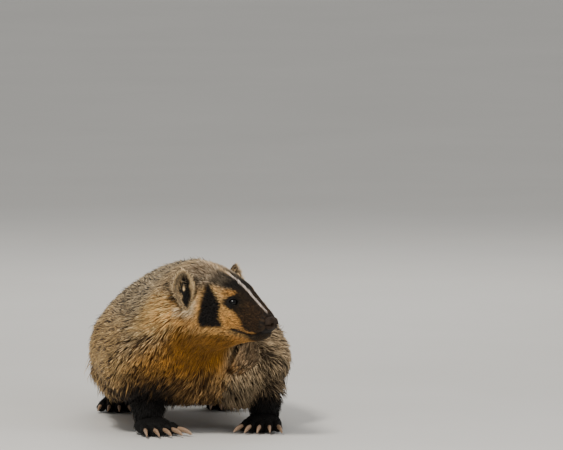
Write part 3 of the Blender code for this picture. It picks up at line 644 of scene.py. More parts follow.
# %% [markdown]
# One rule colours both the coat and the skin under it. The face is the badge of the species: a white
# stripe up the middle, a dark mask beside it, a black patch on a pale cheek. Behind it the coat turns
# to hairs that are buff at the root, dark in the middle and pale at the tip. A painted picture would
# blur at this scale, so each tuft gets three colours of its own instead, worked out from its place.

# %% Colours of the coat
def linear(*colour):
    c = np.array(colour, float)
    return np.where(c <= 0.04045, c / 12.92, ((c + 0.055) / 1.055) ** 2.4)


def blend(first, second, weight):
    return first + (second - first) * np.asarray(weight)[..., None, None]


def soft(value, edge, width):
    """1 above the edge, 0 below it, with a soft border."""
    return smooth_step(value, edge - width, edge + width)


def wander(place, size, seed):
    """A smooth noise between about -1 and 1 with features of the given size."""
    draw = np.random.default_rng(seed)
    total = np.zeros(place.shape[:-1])
    for _ in range(14):
        way = draw.normal(size=3)
        way *= TURN / size * draw.uniform(0.6, 1.5) / np.linalg.norm(way)
        total += np.sin(place @ way + draw.uniform(0, TURN))
    return total / 14**0.5


# Each colour of hair is its under part, its dark band and its tip.
def hair(under, band, tip):
    return np.array([linear(*under), linear(*band), linear(*tip)])


BACK = hair((0.40, 0.31, 0.20), (0.085, 0.064, 0.045), (0.86, 0.76, 0.60))
FLANK = hair((0.56, 0.41, 0.23), (0.25, 0.175, 0.10), (0.95, 0.79, 0.53))
SHOULDER = hair((0.52, 0.35, 0.14), (0.42, 0.28, 0.10), (0.95, 0.70, 0.33))
# SHADE is painted shade: the flank's coat made greyer and darker for the far shoulder, which lies in the
# head's shadow.
SHADE = hair((0.46, 0.38, 0.28), (0.26, 0.21, 0.155), (0.83, 0.72, 0.56))
CHEST = hair((0.29, 0.21, 0.12), (0.25, 0.18, 0.10), (0.64, 0.50, 0.32))
THROAT = hair((0.40, 0.265, 0.055), (0.43, 0.285, 0.06), (0.74, 0.51, 0.15))
DARK = hair((0.045, 0.035, 0.03), (0.05, 0.04, 0.032), (0.10, 0.08, 0.06))
LEG = hair((0.035, 0.028, 0.024), (0.04, 0.032, 0.027), (0.10, 0.078, 0.06))
MASK = hair((0.040, 0.032, 0.025), (0.044, 0.036, 0.028), (0.11, 0.086, 0.063))
MUZZLE = hair((0.12, 0.083, 0.045), (0.145, 0.10, 0.055), (0.36, 0.25, 0.135))
CROWN = hair((0.22, 0.175, 0.125), (0.50, 0.41, 0.31), (1.00, 0.91, 0.77))
NAPE = hair((0.46, 0.36, 0.24), (0.20, 0.15, 0.10), (0.95, 0.82, 0.63))
TAN = hair((0.74, 0.57, 0.33), (0.86, 0.67, 0.40), (1.00, 0.86, 0.58))
CREAM = hair((0.76, 0.66, 0.50), (0.88, 0.78, 0.62), (1.00, 0.93, 0.80))
CHEEK = hair((0.60, 0.45, 0.25), (0.72, 0.54, 0.30), (0.98, 0.79, 0.49))
BROW = hair((0.58, 0.44, 0.26), (0.72, 0.56, 0.34), (0.99, 0.84, 0.60))
JAW = hair((0.42, 0.31, 0.17), (0.56, 0.43, 0.24), (0.84, 0.69, 0.43))
GOLD = hair((0.56, 0.38, 0.15), (0.68, 0.46, 0.19), (0.92, 0.68, 0.33))
STRIPE = hair((0.62, 0.55, 0.48), (0.86, 0.80, 0.75), (0.98, 0.94, 0.90))
STRIPE_BACK = hair((0.62, 0.50, 0.34), (0.88, 0.73, 0.52), (0.98, 0.86, 0.66))
print("hair colours ready")

# %% [markdown]
# Real borders between colours are never sharp, because hairs of both colours mix there. So each border
# is a soft edge at a place on the body: below it one colour, above it the next. The borders of the
# mask, the patch and the stripe are short tables along the head, because they curve.

# %% Where each colour lies
MASK_EDGE = [
    (0.1385, 0.080), (0.1404, 0.0712), (0.1463, 0.0666), (0.1544, 0.0631), (0.1626, 0.0573),
    (0.1686, 0.0486), (0.1740, 0.0428), (0.1775, 0.0430), (0.1820, 0.0485), (0.1865, 0.0530),
    (0.1900, 0.0490), (0.1937, 0.0400), (0.1970, 0.0360), (0.2050, 0.0380), (0.2150, 0.0380),
]
BADGE_REAR = [
    (0.1435, 0.0232), (0.149, 0.0202), (0.157, 0.0210), (0.169, 0.0207),
    (0.180, 0.0205), (0.188, 0.0200), (0.196, 0.0190),
]
BADGE_FRONT = [
    (0.1435, 0.0460), (0.149, 0.0455), (0.157, 0.0418), (0.169, 0.0428),
    (0.180, 0.0374), (0.188, 0.0305), (0.196, 0.0245),
]
STRIPE_HALF = [
    (-0.022, 0.0014), (0.006, 0.0017), (0.022, 0.0020), (0.050, 0.0022), (0.070, 0.0021), (0.085, 0.0010),
]
STRIPE_MIDDLE = [(-0.022, 0.0022), (0.012, 0.0020), (0.030, 0.0003), (0.045, -0.0012), (0.085, -0.0012)]
# Each entry: side, middle, reach, top and edge of the dark above a foreleg, partly the leg's dark fur and
# partly painted shade under the shoulder.
FORELEG_FUR_AND_SHADE = [(-1, 0.075, 0.037, 0.071, 0.010), (1, 0.085, 0.036, 0.056, 0.014)]
EYE_SPOTS = [
    (0.85, 0.0056, 0.042, 0.207, 0.0080), (0.92, -0.0170, 0.056, 0.1790, 0.0092),
    (0.85, 0.053, 0.026, 0.1755, 0.0088),
]


def below(value, edge, width):
    """1 below the edge, 0 above it, with a soft border."""
    return 1 - soft(value, edge, width)


def layered(tone, *layers):
    """Lays colours over a tone one after the other, each with its own weight."""
    for colour, weight in layers:
        tone = blend(tone, colour, weight)
    return tone


def lit(tone, factor):
    """A tone made lighter or darker at each place."""
    return tone * factor[..., None, None]


def spot(place, forward, across, up, radius):
    """A round marking on both sides of the head, in the head's own axes."""
    f, a, z = place
    far = np.sqrt((f - forward) ** 2 + (np.abs(a) - across) ** 2 + (z - up) ** 2)
    return below(far, radius, radius * 0.45)


def body_colours(s, wide, z, x, light):
    """The coat of trunk, neck and chest. x is the place to the badger's left."""
    shoulder = soft(s, -0.055, 0.055) * below(z, 0.122 + 0.006 * light, 0.026)
    throat = soft(s, 0.000, 0.030) * below(z, 0.134, 0.014) * soft(z, 0.078, 0.018)
    # shaded marks the far front of the body, where the SHADE coat is laid as painted shade from the head.
    shaded = soft(s, -0.15, 0.09) * soft(x, 0.022, 0.014) * below(z, 0.148, 0.022) * below(s, 0.078, 0.010)
    low = below(z, 0.072 - 0.012 * soft(x, 0.030, 0.030), 0.016) * soft(s, -0.075, 0.035)
    tone = layered(
        np.zeros(s.shape + (3, 3)) + FLANK,
        (BACK, soft(z, 0.132 + 0.012 * light, 0.036)),
        (SHOULDER, shoulder * below(x, 0.000, 0.030) * soft(x, -0.103, 0.018)),
        (NAPE, soft(s, 0.000, 0.035) * soft(z, 0.180, 0.014)),
        (TAN, soft(s, 0.020, 0.024) * below(z, 0.180, 0.011) * soft(z, 0.136, 0.014) * 0.9),
        (THROAT, throat * soft(x, -0.066, 0.020) * below(x, 0.018, 0.014)),
        (SHADE, shaded * 0.95),
        (CHEST, low * 0.9 * below(wide, 0.104, 0.014)),
    )
    # Above each foreleg the coat is darkened as painted shade under the shoulder, and the leg's own dark fur
    # is blended in.
    for side, middle, reach, top, edge in FORELEG_FUR_AND_SHADE:
        off = np.hypot((x - side * middle) / reach, (s + 0.008) / 0.052)
        tone = lit(tone, 1 - 0.58 * below(off, 1.2, 0.35) * below(z, top + 0.020, 0.018))
        tone = blend(tone, LEG, below(off, 1.0, 0.28) * below(z, top + 0.004 * light, edge) * 0.96)
    tone = lit(tone, 1 + 0.22 * below(s, -0.14, 0.09))
    # Painted light: the coat is made lighter in the hollow between the throat and the fold, against the shade
    # that falls there.
    corner = np.exp(-((x - 0.024) ** 2 + (z - 0.082) ** 2) / 0.016**2) * soft(s, -0.005, 0.015)
    return lit(tone, 1 + 2.6 * corner)


def head_colours(tone, s, z):
    """Lays the pale cheek, the brow and the dark crown over a tone."""
    f = s - NECK_LENGTH
    cheek_foot = 0.139 - 0.010 * soft(f, 0.045, 0.010)
    brow_top = 0.1975 - 0.0050 * soft(f, 0.033, 0.009)
    crown = soft(f, -0.014, 0.014) * soft(z, brow_top - 0.0010, 0.0040)
    cream = soft(f, -0.013, 0.008) * below(f, 0.014, 0.006) * soft(z, 0.156, 0.007)
    tone = layered(
        tone,
        (THROAT, soft(s, 0.066, 0.012) * below(z, cheek_foot, 0.007) * 0.85),
        (CHEEK, soft(s, 0.072, 0.010) * below(z, 0.186, 0.008) * soft(z, cheek_foot, 0.007)),
        (CREAM, cream * below(z, 0.182, 0.007)),
        (BROW, soft(f, 0.020, 0.006) * below(z, brow_top, 0.003) * soft(z, 0.174, 0.006)),
        (GOLD, 0.75 * soft(f, 0.040, 0.006) * below(z, brow_top, 0.003) * soft(z, 0.182, 0.004)),
        (GOLD, 0.55 * soft(f, 0.046, 0.008) * below(z, 0.160, 0.008)),
        (CROWN, crown),
    )
    return lit(tone, 1 - 0.80 * soft(f, 0.016, 0.013) * crown)


def face_colours(tone, s, across, z):
    """Lays the black patch, the mask, the mouth and the white stripe over a tone."""
    f, wide, mouth = s - NECK_LENGTH, np.abs(across), through(MOUTH_LINE, s)
    patch = soft(f, through(BADGE_REAR, z), 0.0026) * below(f, through(BADGE_FRONT, z), 0.0024)
    mask = soft(f, through(MASK_EDGE, z), 0.0030 + 0.016 * soft(z, 0.198, 0.006))
    mask = mask * soft(z, mouth + 0.0032 - 0.0032 * soft(s, 0.165, 0.004), 0.0012)
    sides = np.exp(-((wide - 0.0075) / 0.0050) ** 2) * soft(z, 0.160, 0.010) * soft(f, 0.020, 0.015)
    off_stripe = np.abs(across - through(STRIPE_MIDDLE, f))
    stripe = below(off_stripe, through(STRIPE_HALF, f), 0.0007) * soft(z, 0.155, 0.003)
    stripe = stripe * soft(s, 0.068, 0.010) * below(s, 0.1725, 0.0015)
    jaw = soft(f, 0.046, 0.006) * below(z, mouth - 0.0018, 0.0012)
    return layered(
        tone,
        (DARK, patch * soft(z, 0.1435, 0.0030) * below(z, 0.1965, 0.0024)),
        (MASK, mask * 0.97),
        (MUZZLE, mask * soft(f, 0.066, 0.012) * 0.9),
        *((DARK, spot((f, across, z), *where) * weight) for weight, *where in EYE_SPOTS),
        (JAW, jaw * below(mouth - z, 0.0085, 0.0025)),
        (DARK, soft(f, 0.070, 0.005) * below(z, mouth - 0.0004, 0.0010) * 0.92),
        (DARK, below(np.abs(z - mouth + 0.0009), 0.0016, 0.0006) * soft(f, 0.052, 0.003) * 0.97),
        (DARK, sides * 0.55),
        (STRIPE, stripe),
        (STRIPE_BACK, stripe * below(f, 0.030, 0.012)),
    )


def coat_colours(s, across, z, x, light):
    """Under, band and tip colours at each place of the body. x is the place to the badger's left."""
    tone = body_colours(s, np.abs(across), z, x, light)
    return face_colours(head_colours(tone, s, z), s, across, z)


print("mask edge runs over", MASK_EDGE[0][0], "to", MASK_EDGE[-1][0])

# %% [markdown]
# Fur can be a picture with holes on a few big sheets, real strands, or small blades. Sheets look flat
# from the side, and strands are not kept by a shared part, so blades were chosen. Every tuft stands
# for a lock of hairs: a thin closed blade of three sides that runs to a point. It leaves the skin,
# bends over and lies along the body under its neighbours' tips, and it carries its own colours from
# root to tip. Nearby tufts lean towards one another, as real hair gathers.

# %% Building tufts
LONG, LONG_SHAPE = [0.0, 0.48, 0.74, 1.0], [0.8, 1.0, 0.62, 0.0]
SHORT, SHORT_SHAPE = [0.0, 0.55, 1.0], [0.9, 0.8, 0.0]
BRIGHTEST, PATCH_OF_TUFT = 0.92, 0.003
coat_groups = {}


def tuft_mesh(group, path, normal, across, width, shape, colours, place_uv):
    """Adds blades to a group: all arrays run over the tufts, then over the stations from root to tip."""
    count, stations = path.shape[:2]
    half = (width[:, None] / 2 * np.array(shape)[None, :-1])[..., None]
    low, aside, up = path[:, :-1], across[:, :-1] * half, normal[:, :-1]
    left, right = low - aside - up * half * 0.25, low + aside - up * half * 0.25
    rings = np.stack([left, right, low + up * half * 0.42], 2)
    points = np.concatenate([rings.reshape(count, -1, 3), path[:, -1:]], 1)
    faces = [(0, 1, 2)]
    for a in range(0, 3 * (stations - 2), 3):
        for i in range(3):
            b, j = a + 3, (i + 1) % 3
            faces += [(a + i, b + j, a + j), (a + i, b + i, b + j)]
    last = (stations - 2) * 3
    faces += [(last + i, last + 3, last + (i + 1) % 3) for i in range(3)]
    faces = np.array(faces)
    turned = np.einsum("ij,ij->i", np.cross(across[:, 0], normal[:, 0]), path[:, 1] - path[:, 0]) < 0
    index = np.where(turned[:, None, None], faces[None, :, ::-1], faces[None])
    hue = np.concatenate([np.repeat(colours[:, :-1], 3, axis=1), colours[:, -1:]], 1)
    station = np.concatenate([np.repeat(np.arange(stations - 1), 3), [stations - 1]]) / (stations - 1)
    beside = np.concatenate([np.tile([0.0, 1.0, 0.5], stations - 1), [0.5]])
    patch = np.stack([beside - 0.5, station - 0.5], 1) * PATCH_OF_TUFT
    coat_groups.setdefault(group, []).append((points, index, hue, place_uv[:, None] + patch[None]))
    return count


def at_stations(array, stations):
    """Values at fractions of the way along each path."""
    at = np.array(stations) * (array.shape[1] - 1)
    low = np.minimum(at.astype(int), array.shape[1] - 2)
    mix = (at - low)[None, :, None]
    return array[:, low] * (1 - mix) + array[:, low + 1] * mix


def along_paths(group, path, normal, across, width, stations, colours, place_uv):
    """Adds blades that take the given stations of finer paths."""
    taken = (at_stations(array, stations) for array in (path, normal, across))
    shape = LONG_SHAPE if stations is LONG else SHORT_SHAPE
    return tuft_mesh(group, *taken, width, shape, colours, place_uv)


def unit(ways, extra=0.0):
    """The same ways, each one unit long."""
    return ways / (np.linalg.norm(ways, axis=-1, keepdims=True) + extra)


def tree_of(points):
    """A search tree over an array of points."""
    tree = KDTree(len(points))
    for number, point in enumerate(points):
        tree.insert(point, number)
    tree.balance()
    return tree


def nearest_of(tree, points):
    return np.array([tree.find(point)[1] for point in points])


def gather(paths, roots, share, spacing, seed):
    """Leans each tuft towards the nearest of a few chosen ones, more at the tip than at the root."""
    draw = np.random.default_rng(seed)
    count = len(roots)
    chosen = draw.choice(count, max(2, count // spacing), replace=False)
    nearest = chosen[nearest_of(tree_of(roots[chosen]), roots)]
    t = np.linspace(0, 1, paths.shape[1])[None, :, None] ** 1.6
    lean = share * draw.uniform(0.4, 1.3, (count, 1, 1))
    return paths + (paths[nearest] - paths) * t * lean, nearest


def bounded(colours):
    """Keeps each colour below white without a change of its hue."""
    return colours / np.maximum(colours.max(-1, keepdims=True) / BRIGHTEST, 1.0)


def jitter(colours, draw, amount, warm=0.014):
    """Each tuft a little lighter or darker, warmer or cooler than the next."""
    count = len(colours)
    light = np.exp(draw.normal(0, amount, (count, 1, 1)))
    tint = 1 + draw.normal(0, warm, (count, 1, 1)) * np.array([1.0, 0.3, -1.3])
    return bounded(colours * light * tint)


print("corners of a long and of a short tuft:", 3 * len(LONG) - 2, 3 * len(SHORT) - 2)

# %% [markdown]
# Hair lies from the nose to the rump and falls down the sides, and it is longest on the flanks. Each
# tuft walks over the body in small steps along that lie, so it bends with the surface by itself. The
# lengths and widths are tables like the outlines. A face that is covered with short fine hair keeps
# its markings sharp, so the head gets the most tufts to the area.

# %% How the coat lies
COAT_LENGTH = [
    (-0.372, 0.007), (-0.360, 0.015), (-0.340, 0.027), (-0.300, 0.035), (-0.060, 0.036),
    (0.000, 0.032), (0.040, 0.025), (0.070, 0.015), (0.090, 0.0098), (0.110, 0.0080),
    (0.130, 0.0056), (0.150, 0.0038), (0.182, 0.0022),
]
TUFT_WIDTH = [
    (-0.372, 0.0016), (0.000, 0.0015), (0.050, 0.0012), (0.085, 0.00080),
    (0.120, 0.00066), (0.150, 0.00055), (0.182, 0.00042),
]
FALL = [
    (-0.372, 0.50), (-0.060, 0.46), (0.020, 0.95), (0.060, 1.00),
    (0.085, 0.70), (0.110, 0.35), (0.140, 0.12), (0.182, 0.05),
]
WALK_STEPS, SEEN_STEP = 6, 4


def dot(first, second):
    return np.sum(first * second, -1)


def body_lie(s, normal):
    """The way the coat lies: from the nose to the rump, and down the sides."""
    _, yaw = spine(s)
    way = np.stack([-np.sin(yaw), np.cos(yaw), -through(FALL, s)], -1)
    way -= normal * dot(way, normal)[..., None]
    return unit(way, 1e-9)


def walk(s, theta, length, depth, tip, lean):
    """Follows the lie over the body from each root, rising from the skin to the coat's tips."""
    made = []
    stuck = np.zeros(s.shape, bool)
    stride = (length / WALK_STEPS)[:, None]
    for i in range(WALK_STEPS + 1):
        rise = -depth + (depth + tip) * (1 - (1 - i / WALK_STEPS) ** 1.7)
        here, along, around, up = surface_frame(s, theta)
        flow = body_lie(s, up)
        beside = np.cross(up, flow)
        flow = flow * np.cos(lean)[:, None] + beside * np.sin(lean)[:, None]
        if i == 0:
            place, normal, way, across = here, up, flow, beside
        else:
            drop = unit(way + np.array([0, 0, -0.40]))
            place, way, normal, across = (
                np.where(stuck[:, None], held, free) for held, free in
                ((place + drop * stride, here), (drop, flow), (normal, up), (across, beside)))
        made.append((place + normal * rise[:, None], normal, across, s, theta))
        stuck |= s < RUMP + 0.012
        aa, ab, bb = dot(along, along), dot(along, around), dot(around, around)
        fa, fb = dot(along, way * stride), dot(around, way * stride)
        solid = aa * bb - ab * ab + 1e-12
        s = np.maximum(s + np.clip((fa * bb - fb * ab) / solid, -0.02, 0.02), RUMP + 0.002)
        theta = theta + np.clip((fb * aa - fa * ab) / solid, -0.35, 0.35)
    return [np.stack(arrays, 1) for arrays in zip(*made)]


def sow(count, low, high, density, seed):
    """Roots over a length of the body, as many to the area as the density says."""
    draw = np.random.default_rng(seed)
    s, theta = draw.uniform(low, high, count * 6), draw.uniform(0, TURN, count * 6)
    _, along, around, _ = surface_frame(s, theta)
    weight = np.linalg.norm(np.cross(along, around), axis=1) * density(s, theta)
    chosen = draw.choice(len(s), count, replace=False, p=weight / weight.sum())
    return s[chosen], theta[chosen], draw


def body_uv(s, theta):
    """The unwrap of the body: the turn about the spine against the way along it."""
    return np.stack([(theta / TURN) % 1.0 * 0.94 + 0.03, (s - RUMP) / (HEAD_FRONT - RUMP) * 0.94 + 0.03], 1)


print("hair at the flank and at the cheek", through(COAT_LENGTH, [-0.1, 0.12]).round(4))

# %% [markdown]
# Some places must stay free of hair: the cup of each ear, the eyes with their lids, the nose and the
# line of the lips. Trimming blades afterwards would leave cut ends, so a tuft that would pass through
# one of them is left out whole.

# %% Places that stay free
def in_ear(points):
    """True for tufts that would pass through the cup of an ear."""
    inside = np.zeros(points.shape[:2], bool)
    for side in (-1, 1):
        x, y, o = ear_place(points, side)
        bowl = EAR_CUP * np.clip(1 - (x * x + y * y) ** 1.1, 0, 1) + 0.0062
        inside |= (x * x + y * y < 1.05) & (o > -bowl) & (o < 0.005)
    return inside.any(1)


def is_clear(path, outline, s, theta, length):
    """True for tufts that keep off the ears, eyes, nose and lips."""
    clear = ~in_ear(path)
    for side in (-1, 1):
        centre = np.array(eyes[side][0])
        clear &= ~((np.linalg.norm(path - centre, axis=2) < EYE_RADIUS + LID).any(1))
        clear &= np.linalg.norm(outline - centre, axis=1) > EYE_RADIUS + 0.0022
    away = path - np.array(head_point(NOSE_CENTRE[0], 0, NOSE_CENTRE[1]))
    ways = (head_direction(1, 0, 0), head_direction(0, 1, 0), Vector((0, 0, 1)))
    part = sum(((away @ np.array(way)) / (size + GAP)) ** 2 for way, size in zip(ways, NOSE_HALF))
    clear &= part.min(1) > 1.0
    clear &= ~((s > 0.140) & (np.abs(outline[:, 2] - through(MOUTH_LINE, s)) < 0.0011))
    on_lip = path[:, -1, 2] - through(MOUTH_LINE, s - 0.6 * length)
    return clear & ~((s > 0.142) & (np.abs(on_lip) < 0.0010) & (np.abs(np.sin(theta)) > 0.2))


print("eyes kept free out to", round(EYE_RADIUS + LID, 4))

# %% [markdown]
# The grizzle comes from three kinds of hair side by side: most tufts run from dark to a pale tip, some
# turn pale only late, and some stay dark to the end. The colours are taken where the tuft is seen, near
# its tip, a little off its true place, so that the borders of the markings are ragged like real ones.

# %% Coat of the trunk, neck and head
def seen_colours(s, theta):
    """Where tufts are seen, and the coat's colours there."""
    seen = body_surface(s, theta, 0.0)
    place, _ = spine(s)
    turn = section_turn(s, seen[:, 2])
    across = dot(seen[:, :2] - place, np.stack([np.cos(turn), np.sin(turn)], -1))
    return seen, coat_colours(s, across, seen[:, 2], seen[:, 0], wander(seen, 0.16, 5))


def banded(tone, draw, nearest, high):
    """Four colours of each long tuft: some turn pale late, some keep a dark tip."""
    hue = tone[:, [0, 1, 2, 2]]
    hue[:, -1] = bounded(hue[:, -1] * 1.12)
    kind = 0.45 * draw.random(len(tone)) + 0.55 * draw.random(len(tone))[nearest]
    late = kind < 0.50
    hue[late, 2] = tone[late, 1] * 0.6 + tone[late, 2] * 0.4
    dark_tip = kind > 0.70 - 0.06 * soft(high, 0.12, 0.04)
    hue[dark_tip, 2:] = tone[dark_tip, 1][:, None] * 0.85
    return hue


def body_coat(group, count, low, high, density, stations, clump, spacing, lift, seed, thin=1.0, reach=0.0):
    """Sets tufts on a length of the body, and gives where they are seen and their colours."""
    s, theta, draw = sow(count, low, high, density, seed)
    outline, skin_depth = body_surface(s, theta, 0.0), through(SKIN_DEPTH, s)
    loose = below(outline[:, 2], 0.142, 0.012) * below(s, 0.128, 0.016) * soft(s, 0.070, 0.015)
    length = through(COAT_LENGTH, s) * draw.uniform(0.72, 1.18, count) * (1 + 1.4 * loose)
    over = draw.uniform(-0.10, 0.20, count) + lift * draw.random(count) ** 6
    tip = skin_depth * over + 0.0004 + 0.0018 * loose + reach * draw.uniform(0.2, 1.0, count)
    lean = draw.normal(0, 0.16, count) + 0.22 * wander(surface_frame(s, theta)[0], 0.09, seed + 3)
    path, normal, across, way_s, way_theta = walk(s, theta, length, skin_depth + 0.0004, tip, lean)
    path, nearest = gather(path, path[:, 0], clump, spacing, seed + 1)
    keep = is_clear(path, outline, s, theta, length)
    ragged = draw.normal(0, 1, (2, count)) * (0.0007 + 0.003 * below(s, 0.060, 0.020))
    seen_theta = way_theta[:, SEEN_STEP] + ragged[1] / through(HALF_WIDTH, s)
    seen, tone = seen_colours(way_s[:, SEEN_STEP] + ragged[0], seen_theta)
    uneven = 0.20 + 0.08 * below(s, 0.070, 0.02) + 0.26 * soft(s, 0.122, 0.02)
    tone = jitter(tone, draw, uneven[:, None, None])
    patchy = np.exp(0.07 * wander(outline, 0.05, 7) + draw.normal(0, 0.24, count)[nearest])
    tone = bounded(lit(tone, patchy))
    if stations is LONG:
        hue = banded(tone, draw, nearest, outline[:, 2])
    else:
        hue = tone.copy()
        hue[:, -1] = bounded(hue[:, -1] * 1.12)
    width = through(TUFT_WIDTH, s) * draw.uniform(0.7, 1.35, count) * thin
    made = along_paths(group, path[keep], normal[keep], across[keep], width[keep], stations,
                       hue[keep], body_uv(s, theta)[keep])
    print(group, made, "tufts")
    return seen, tone


def flank_density(s, theta):
    return 1.0 - 0.55 * soft(np.abs((theta + math.pi) % TURN - math.pi), 2.5, 0.2)


def head_density(s, theta):
    return 1.0 + 3.0 * soft(s, 0.105, 0.02) + 3.0 * soft(s, 0.145, 0.02)


# Each line: group, tufts, from s to s, density, stations, gathering, tufts to a lock, lift, seed.
clouds = [
    body_coat("trunk", 39000, RUMP + 0.004, 0.012, flank_density, LONG, 0.55, 10, 0.25, 21),
    body_coat("neck", 10500, 0.008, 0.082, flank_density, LONG, 0.50, 10, 0.22, 31),
    body_coat("head", 25000, 0.078, 0.1745, head_density, SHORT, 0.16, 7, 0.25, 41),
]
body_coat("trunk", 2200, RUMP + 0.010, 0.060, flank_density, LONG, 0.20, 6, 0.25, 51, 0.5, 0.0045)
near_place, near_tone = (np.concatenate(arrays) for arrays in zip(*clouds))
near_tree = tree_of(near_place)


def colours_near(points):
    """Coat colours for places that follow no section of the body, from the tuft nearest to them."""
    return near_tone[nearest_of(near_tree, points)]


print("tufts whose colours can be looked up", len(near_place))

# %% [markdown]
# Legs, feet, ears and tail have shorter hair of their own. Roots are scattered over each part's
# surface, and those that would start inside the body or under a sole are left out.

# %% Tools for the coat of the limbs
grid = np.linspace(RUMP + 0.01, 0.17, 90)[:, None], full_turn(90)[None]
body_grid, grid_normal = body_surface(*grid, 0.0).reshape(-1, 3), surface_frame(*grid)[3].reshape(-1, 3)
body_tree = tree_of(body_grid)


def outside_body(points):
    """How far each point lies outside the outline of the trunk, neck and head."""
    found = nearest_of(body_tree, points)
    return dot(points - body_grid[found], grid_normal[found])


def scatter(part, count, seed):
    """Roots spread evenly over a part's surface, each with the outward normal there."""
    points, triangles = parts_of_coat[part]
    draw = np.random.default_rng(seed)
    a, b, c = (points[triangles[:, i]] for i in range(3))
    cross = np.cross(b - a, c - a)
    area = np.linalg.norm(cross, axis=1)
    chosen = draw.choice(len(area), count, p=area / area.sum())
    u, v = draw.random((2, count))
    u, v = np.where(u + v > 1, 1 - u, u)[:, None], np.where(u + v > 1, 1 - v, v)[:, None]
    place = a[chosen] + (b - a)[chosen] * u + (c - a)[chosen] * v
    return place, (cross / (area[:, None] + 1e-18))[chosen], draw


def part_uv(place, low, size):
    """A patch of the unwrap for a part: its height against the turn about its middle."""
    middle = place.mean(0)
    turn = np.arctan2(place[:, 0] - middle[0], place[:, 1] - middle[1]) / TURN + 0.5
    high = (place[:, 2] - place[:, 2].min()) / (np.ptp(place[:, 2]) + 1e-9)
    return np.stack([low[0] + size[0] * turn, low[1] + size[1] * high], 1)


def short_paths(place, normal, way, length, rise):
    """Paths that leave the surface and bend over along the given way."""
    way = unit(way - normal * dot(way, normal)[:, None], 1e-9)
    across = np.cross(normal, way)
    t = np.linspace(0, 1, 3)[None, :, None]
    up = -0.0004 + (rise[:, None, None] + 0.0004) * (1 - (1 - t) ** 1.7)
    path = place[:, None] + way[:, None] * length[:, None, None] * t + normal[:, None] * up
    return path, over_stations(normal, 3), over_stations(across, 3)


def over_stations(ways, count):
    """The same way at each station of a path."""
    return ways[:, None] * np.ones((1, count, 1))


def short_coat(group, paths, place, tone, draw, uneven, widths, low, size):
    """Adds short tufts to a group, each a little different from the next in colour and width."""
    hue = jitter(tone, draw, uneven)
    width = draw.uniform(*widths, len(place))
    return tuft_mesh(group, *paths, width, SHORT_SHAPE, hue, part_uv(place, low, size))


def alike(tone, count):
    """The same three colours for each of many tufts."""
    return np.broadcast_to(tone, (count, 3, 3))


def long_coat(group, path, up, across, widths, hue, draw, place_uv):
    """Adds long tufts with drawn widths to a group."""
    return along_paths(group, path, up, across, draw.uniform(*widths, len(path)), LONG, hue, place_uv)


PARTS_OF_WAY = np.linspace(0, 1, 7)[None, :, None]
print("grid points on the outline", len(body_grid))

# %% [markdown]
# Where the turned neck meets the far shoulder the loose skin makes a fold, and its hair hangs down. Low
# on the flanks a fringe of long hair hides where the legs begin. Both grow across the sections, so
# they get their own ways to fall.

# %% The fold before the shoulder
place, normal, draw = scatter("fold_0", 2400, 55)
way = unit(np.array([0.28, -0.20, -1.0]) + draw.normal(0, 0.13, place.shape))
across = unit(np.cross(normal, way), 1e-9)
t = PARTS_OF_WAY
length = draw.uniform(0.018, 0.031, (len(place), 1, 1))
rise = draw.uniform(0.007, 0.0135, (len(place), 1, 1))
path = place[:, None] + way[:, None] * length * t + normal[:, None] * rise * (1 - (1 - t) ** 1.9)
path, _ = gather(path, place, 0.35, 9, 56)
# The fold's hair takes the painted-shade coat, lighter at the top as painted light against its dark hollow
# and darker at the bottom as painted shade.
shade = lit(SHADE[None, [0, 1, 2, 2]], 1.15 - 0.80 * below(place[:, 2], 0.084, 0.014))
hue = jitter(shade, draw, 0.26)
dark = draw.random(len(place)) < 0.35
hue[dark, 2] = hue[dark, 1]
unwrap = np.stack([0.55 + 0.3 * place[:, 0] / 0.06, 0.72 + 0.1 * place[:, 2] / 0.12], 1)
up, across = over_stations(normal, 7), over_stations(across, 7)
made = long_coat("neck", path, up, across, (0.0010, 0.0018), hue, draw, unwrap)
print("fold", made, "tufts")


# %% [markdown]
# The longest hair hangs from the edge of the flanks towards the floor. An even hem would look like a
# skirt, so each tuft reaches down to a height that wanders along the body.

# %% Fringe of long hair along the lower edge of the body
def fringe_density(s, theta):
    return np.exp(-((body_surface(s, theta, 0.0)[:, 2] - 0.066) / 0.015) ** 2)


s, theta, draw = sow(4300, -0.330, 0.045, fringe_density, 57)
outline, _, _, up = surface_frame(s, theta)
root = outline - up * (through(SKIN_DEPTH, s)[:, None] + 0.0005)
foot_of_hair = draw.uniform(0.026, 0.044, len(s)) + 0.006 * wander(outline, 0.07, 58)
length = np.clip((outline[:, 2] - foot_of_hair) / 0.80, 0.016, 0.046) * (1 - 0.45 * below(s, -0.300, 0.030))
way = unit(np.array([0, 0.85, -1.0]) + draw.normal(0, 0.18, root.shape) - up * np.array([0.10, 0.10, 0]))
beside = unit(np.cross(up, way))
t = PARTS_OF_WAY
path = root[:, None] + way[:, None] * length[:, None, None] * t
rise = (through(SKIN_DEPTH, s) + 0.0006)[:, None, None] * (1 - (1 - t) ** 2.2) * (1 - 0.50 * t * t)
path, _ = gather(path + up[:, None] * rise, root, 0.50, 10, 59)
hue = jitter(colours_near(outline - np.array([0, 0, 0.003]))[:, [0, 1, 2, 2]], draw, 0.25)
hue[:, 3] = 0.6 * hue[:, 3] + 0.4 * hue[:, 1]
# Painted shade: the fringe is darker at its front end, under the chest and shoulders.
hue = lit(hue, 1 - 0.35 * soft(s, -0.010, 0.030))
dark = draw.random(len(s)) < 0.45
hue[dark, 2:] = hue[dark, 1][:, None]
up, beside = over_stations(up, 7), over_stations(beside, 7)
made = long_coat("trunk", path, up, beside, (0.0010, 0.0019), hue, draw, body_uv(s, theta))
print("fringe", made, "tufts")
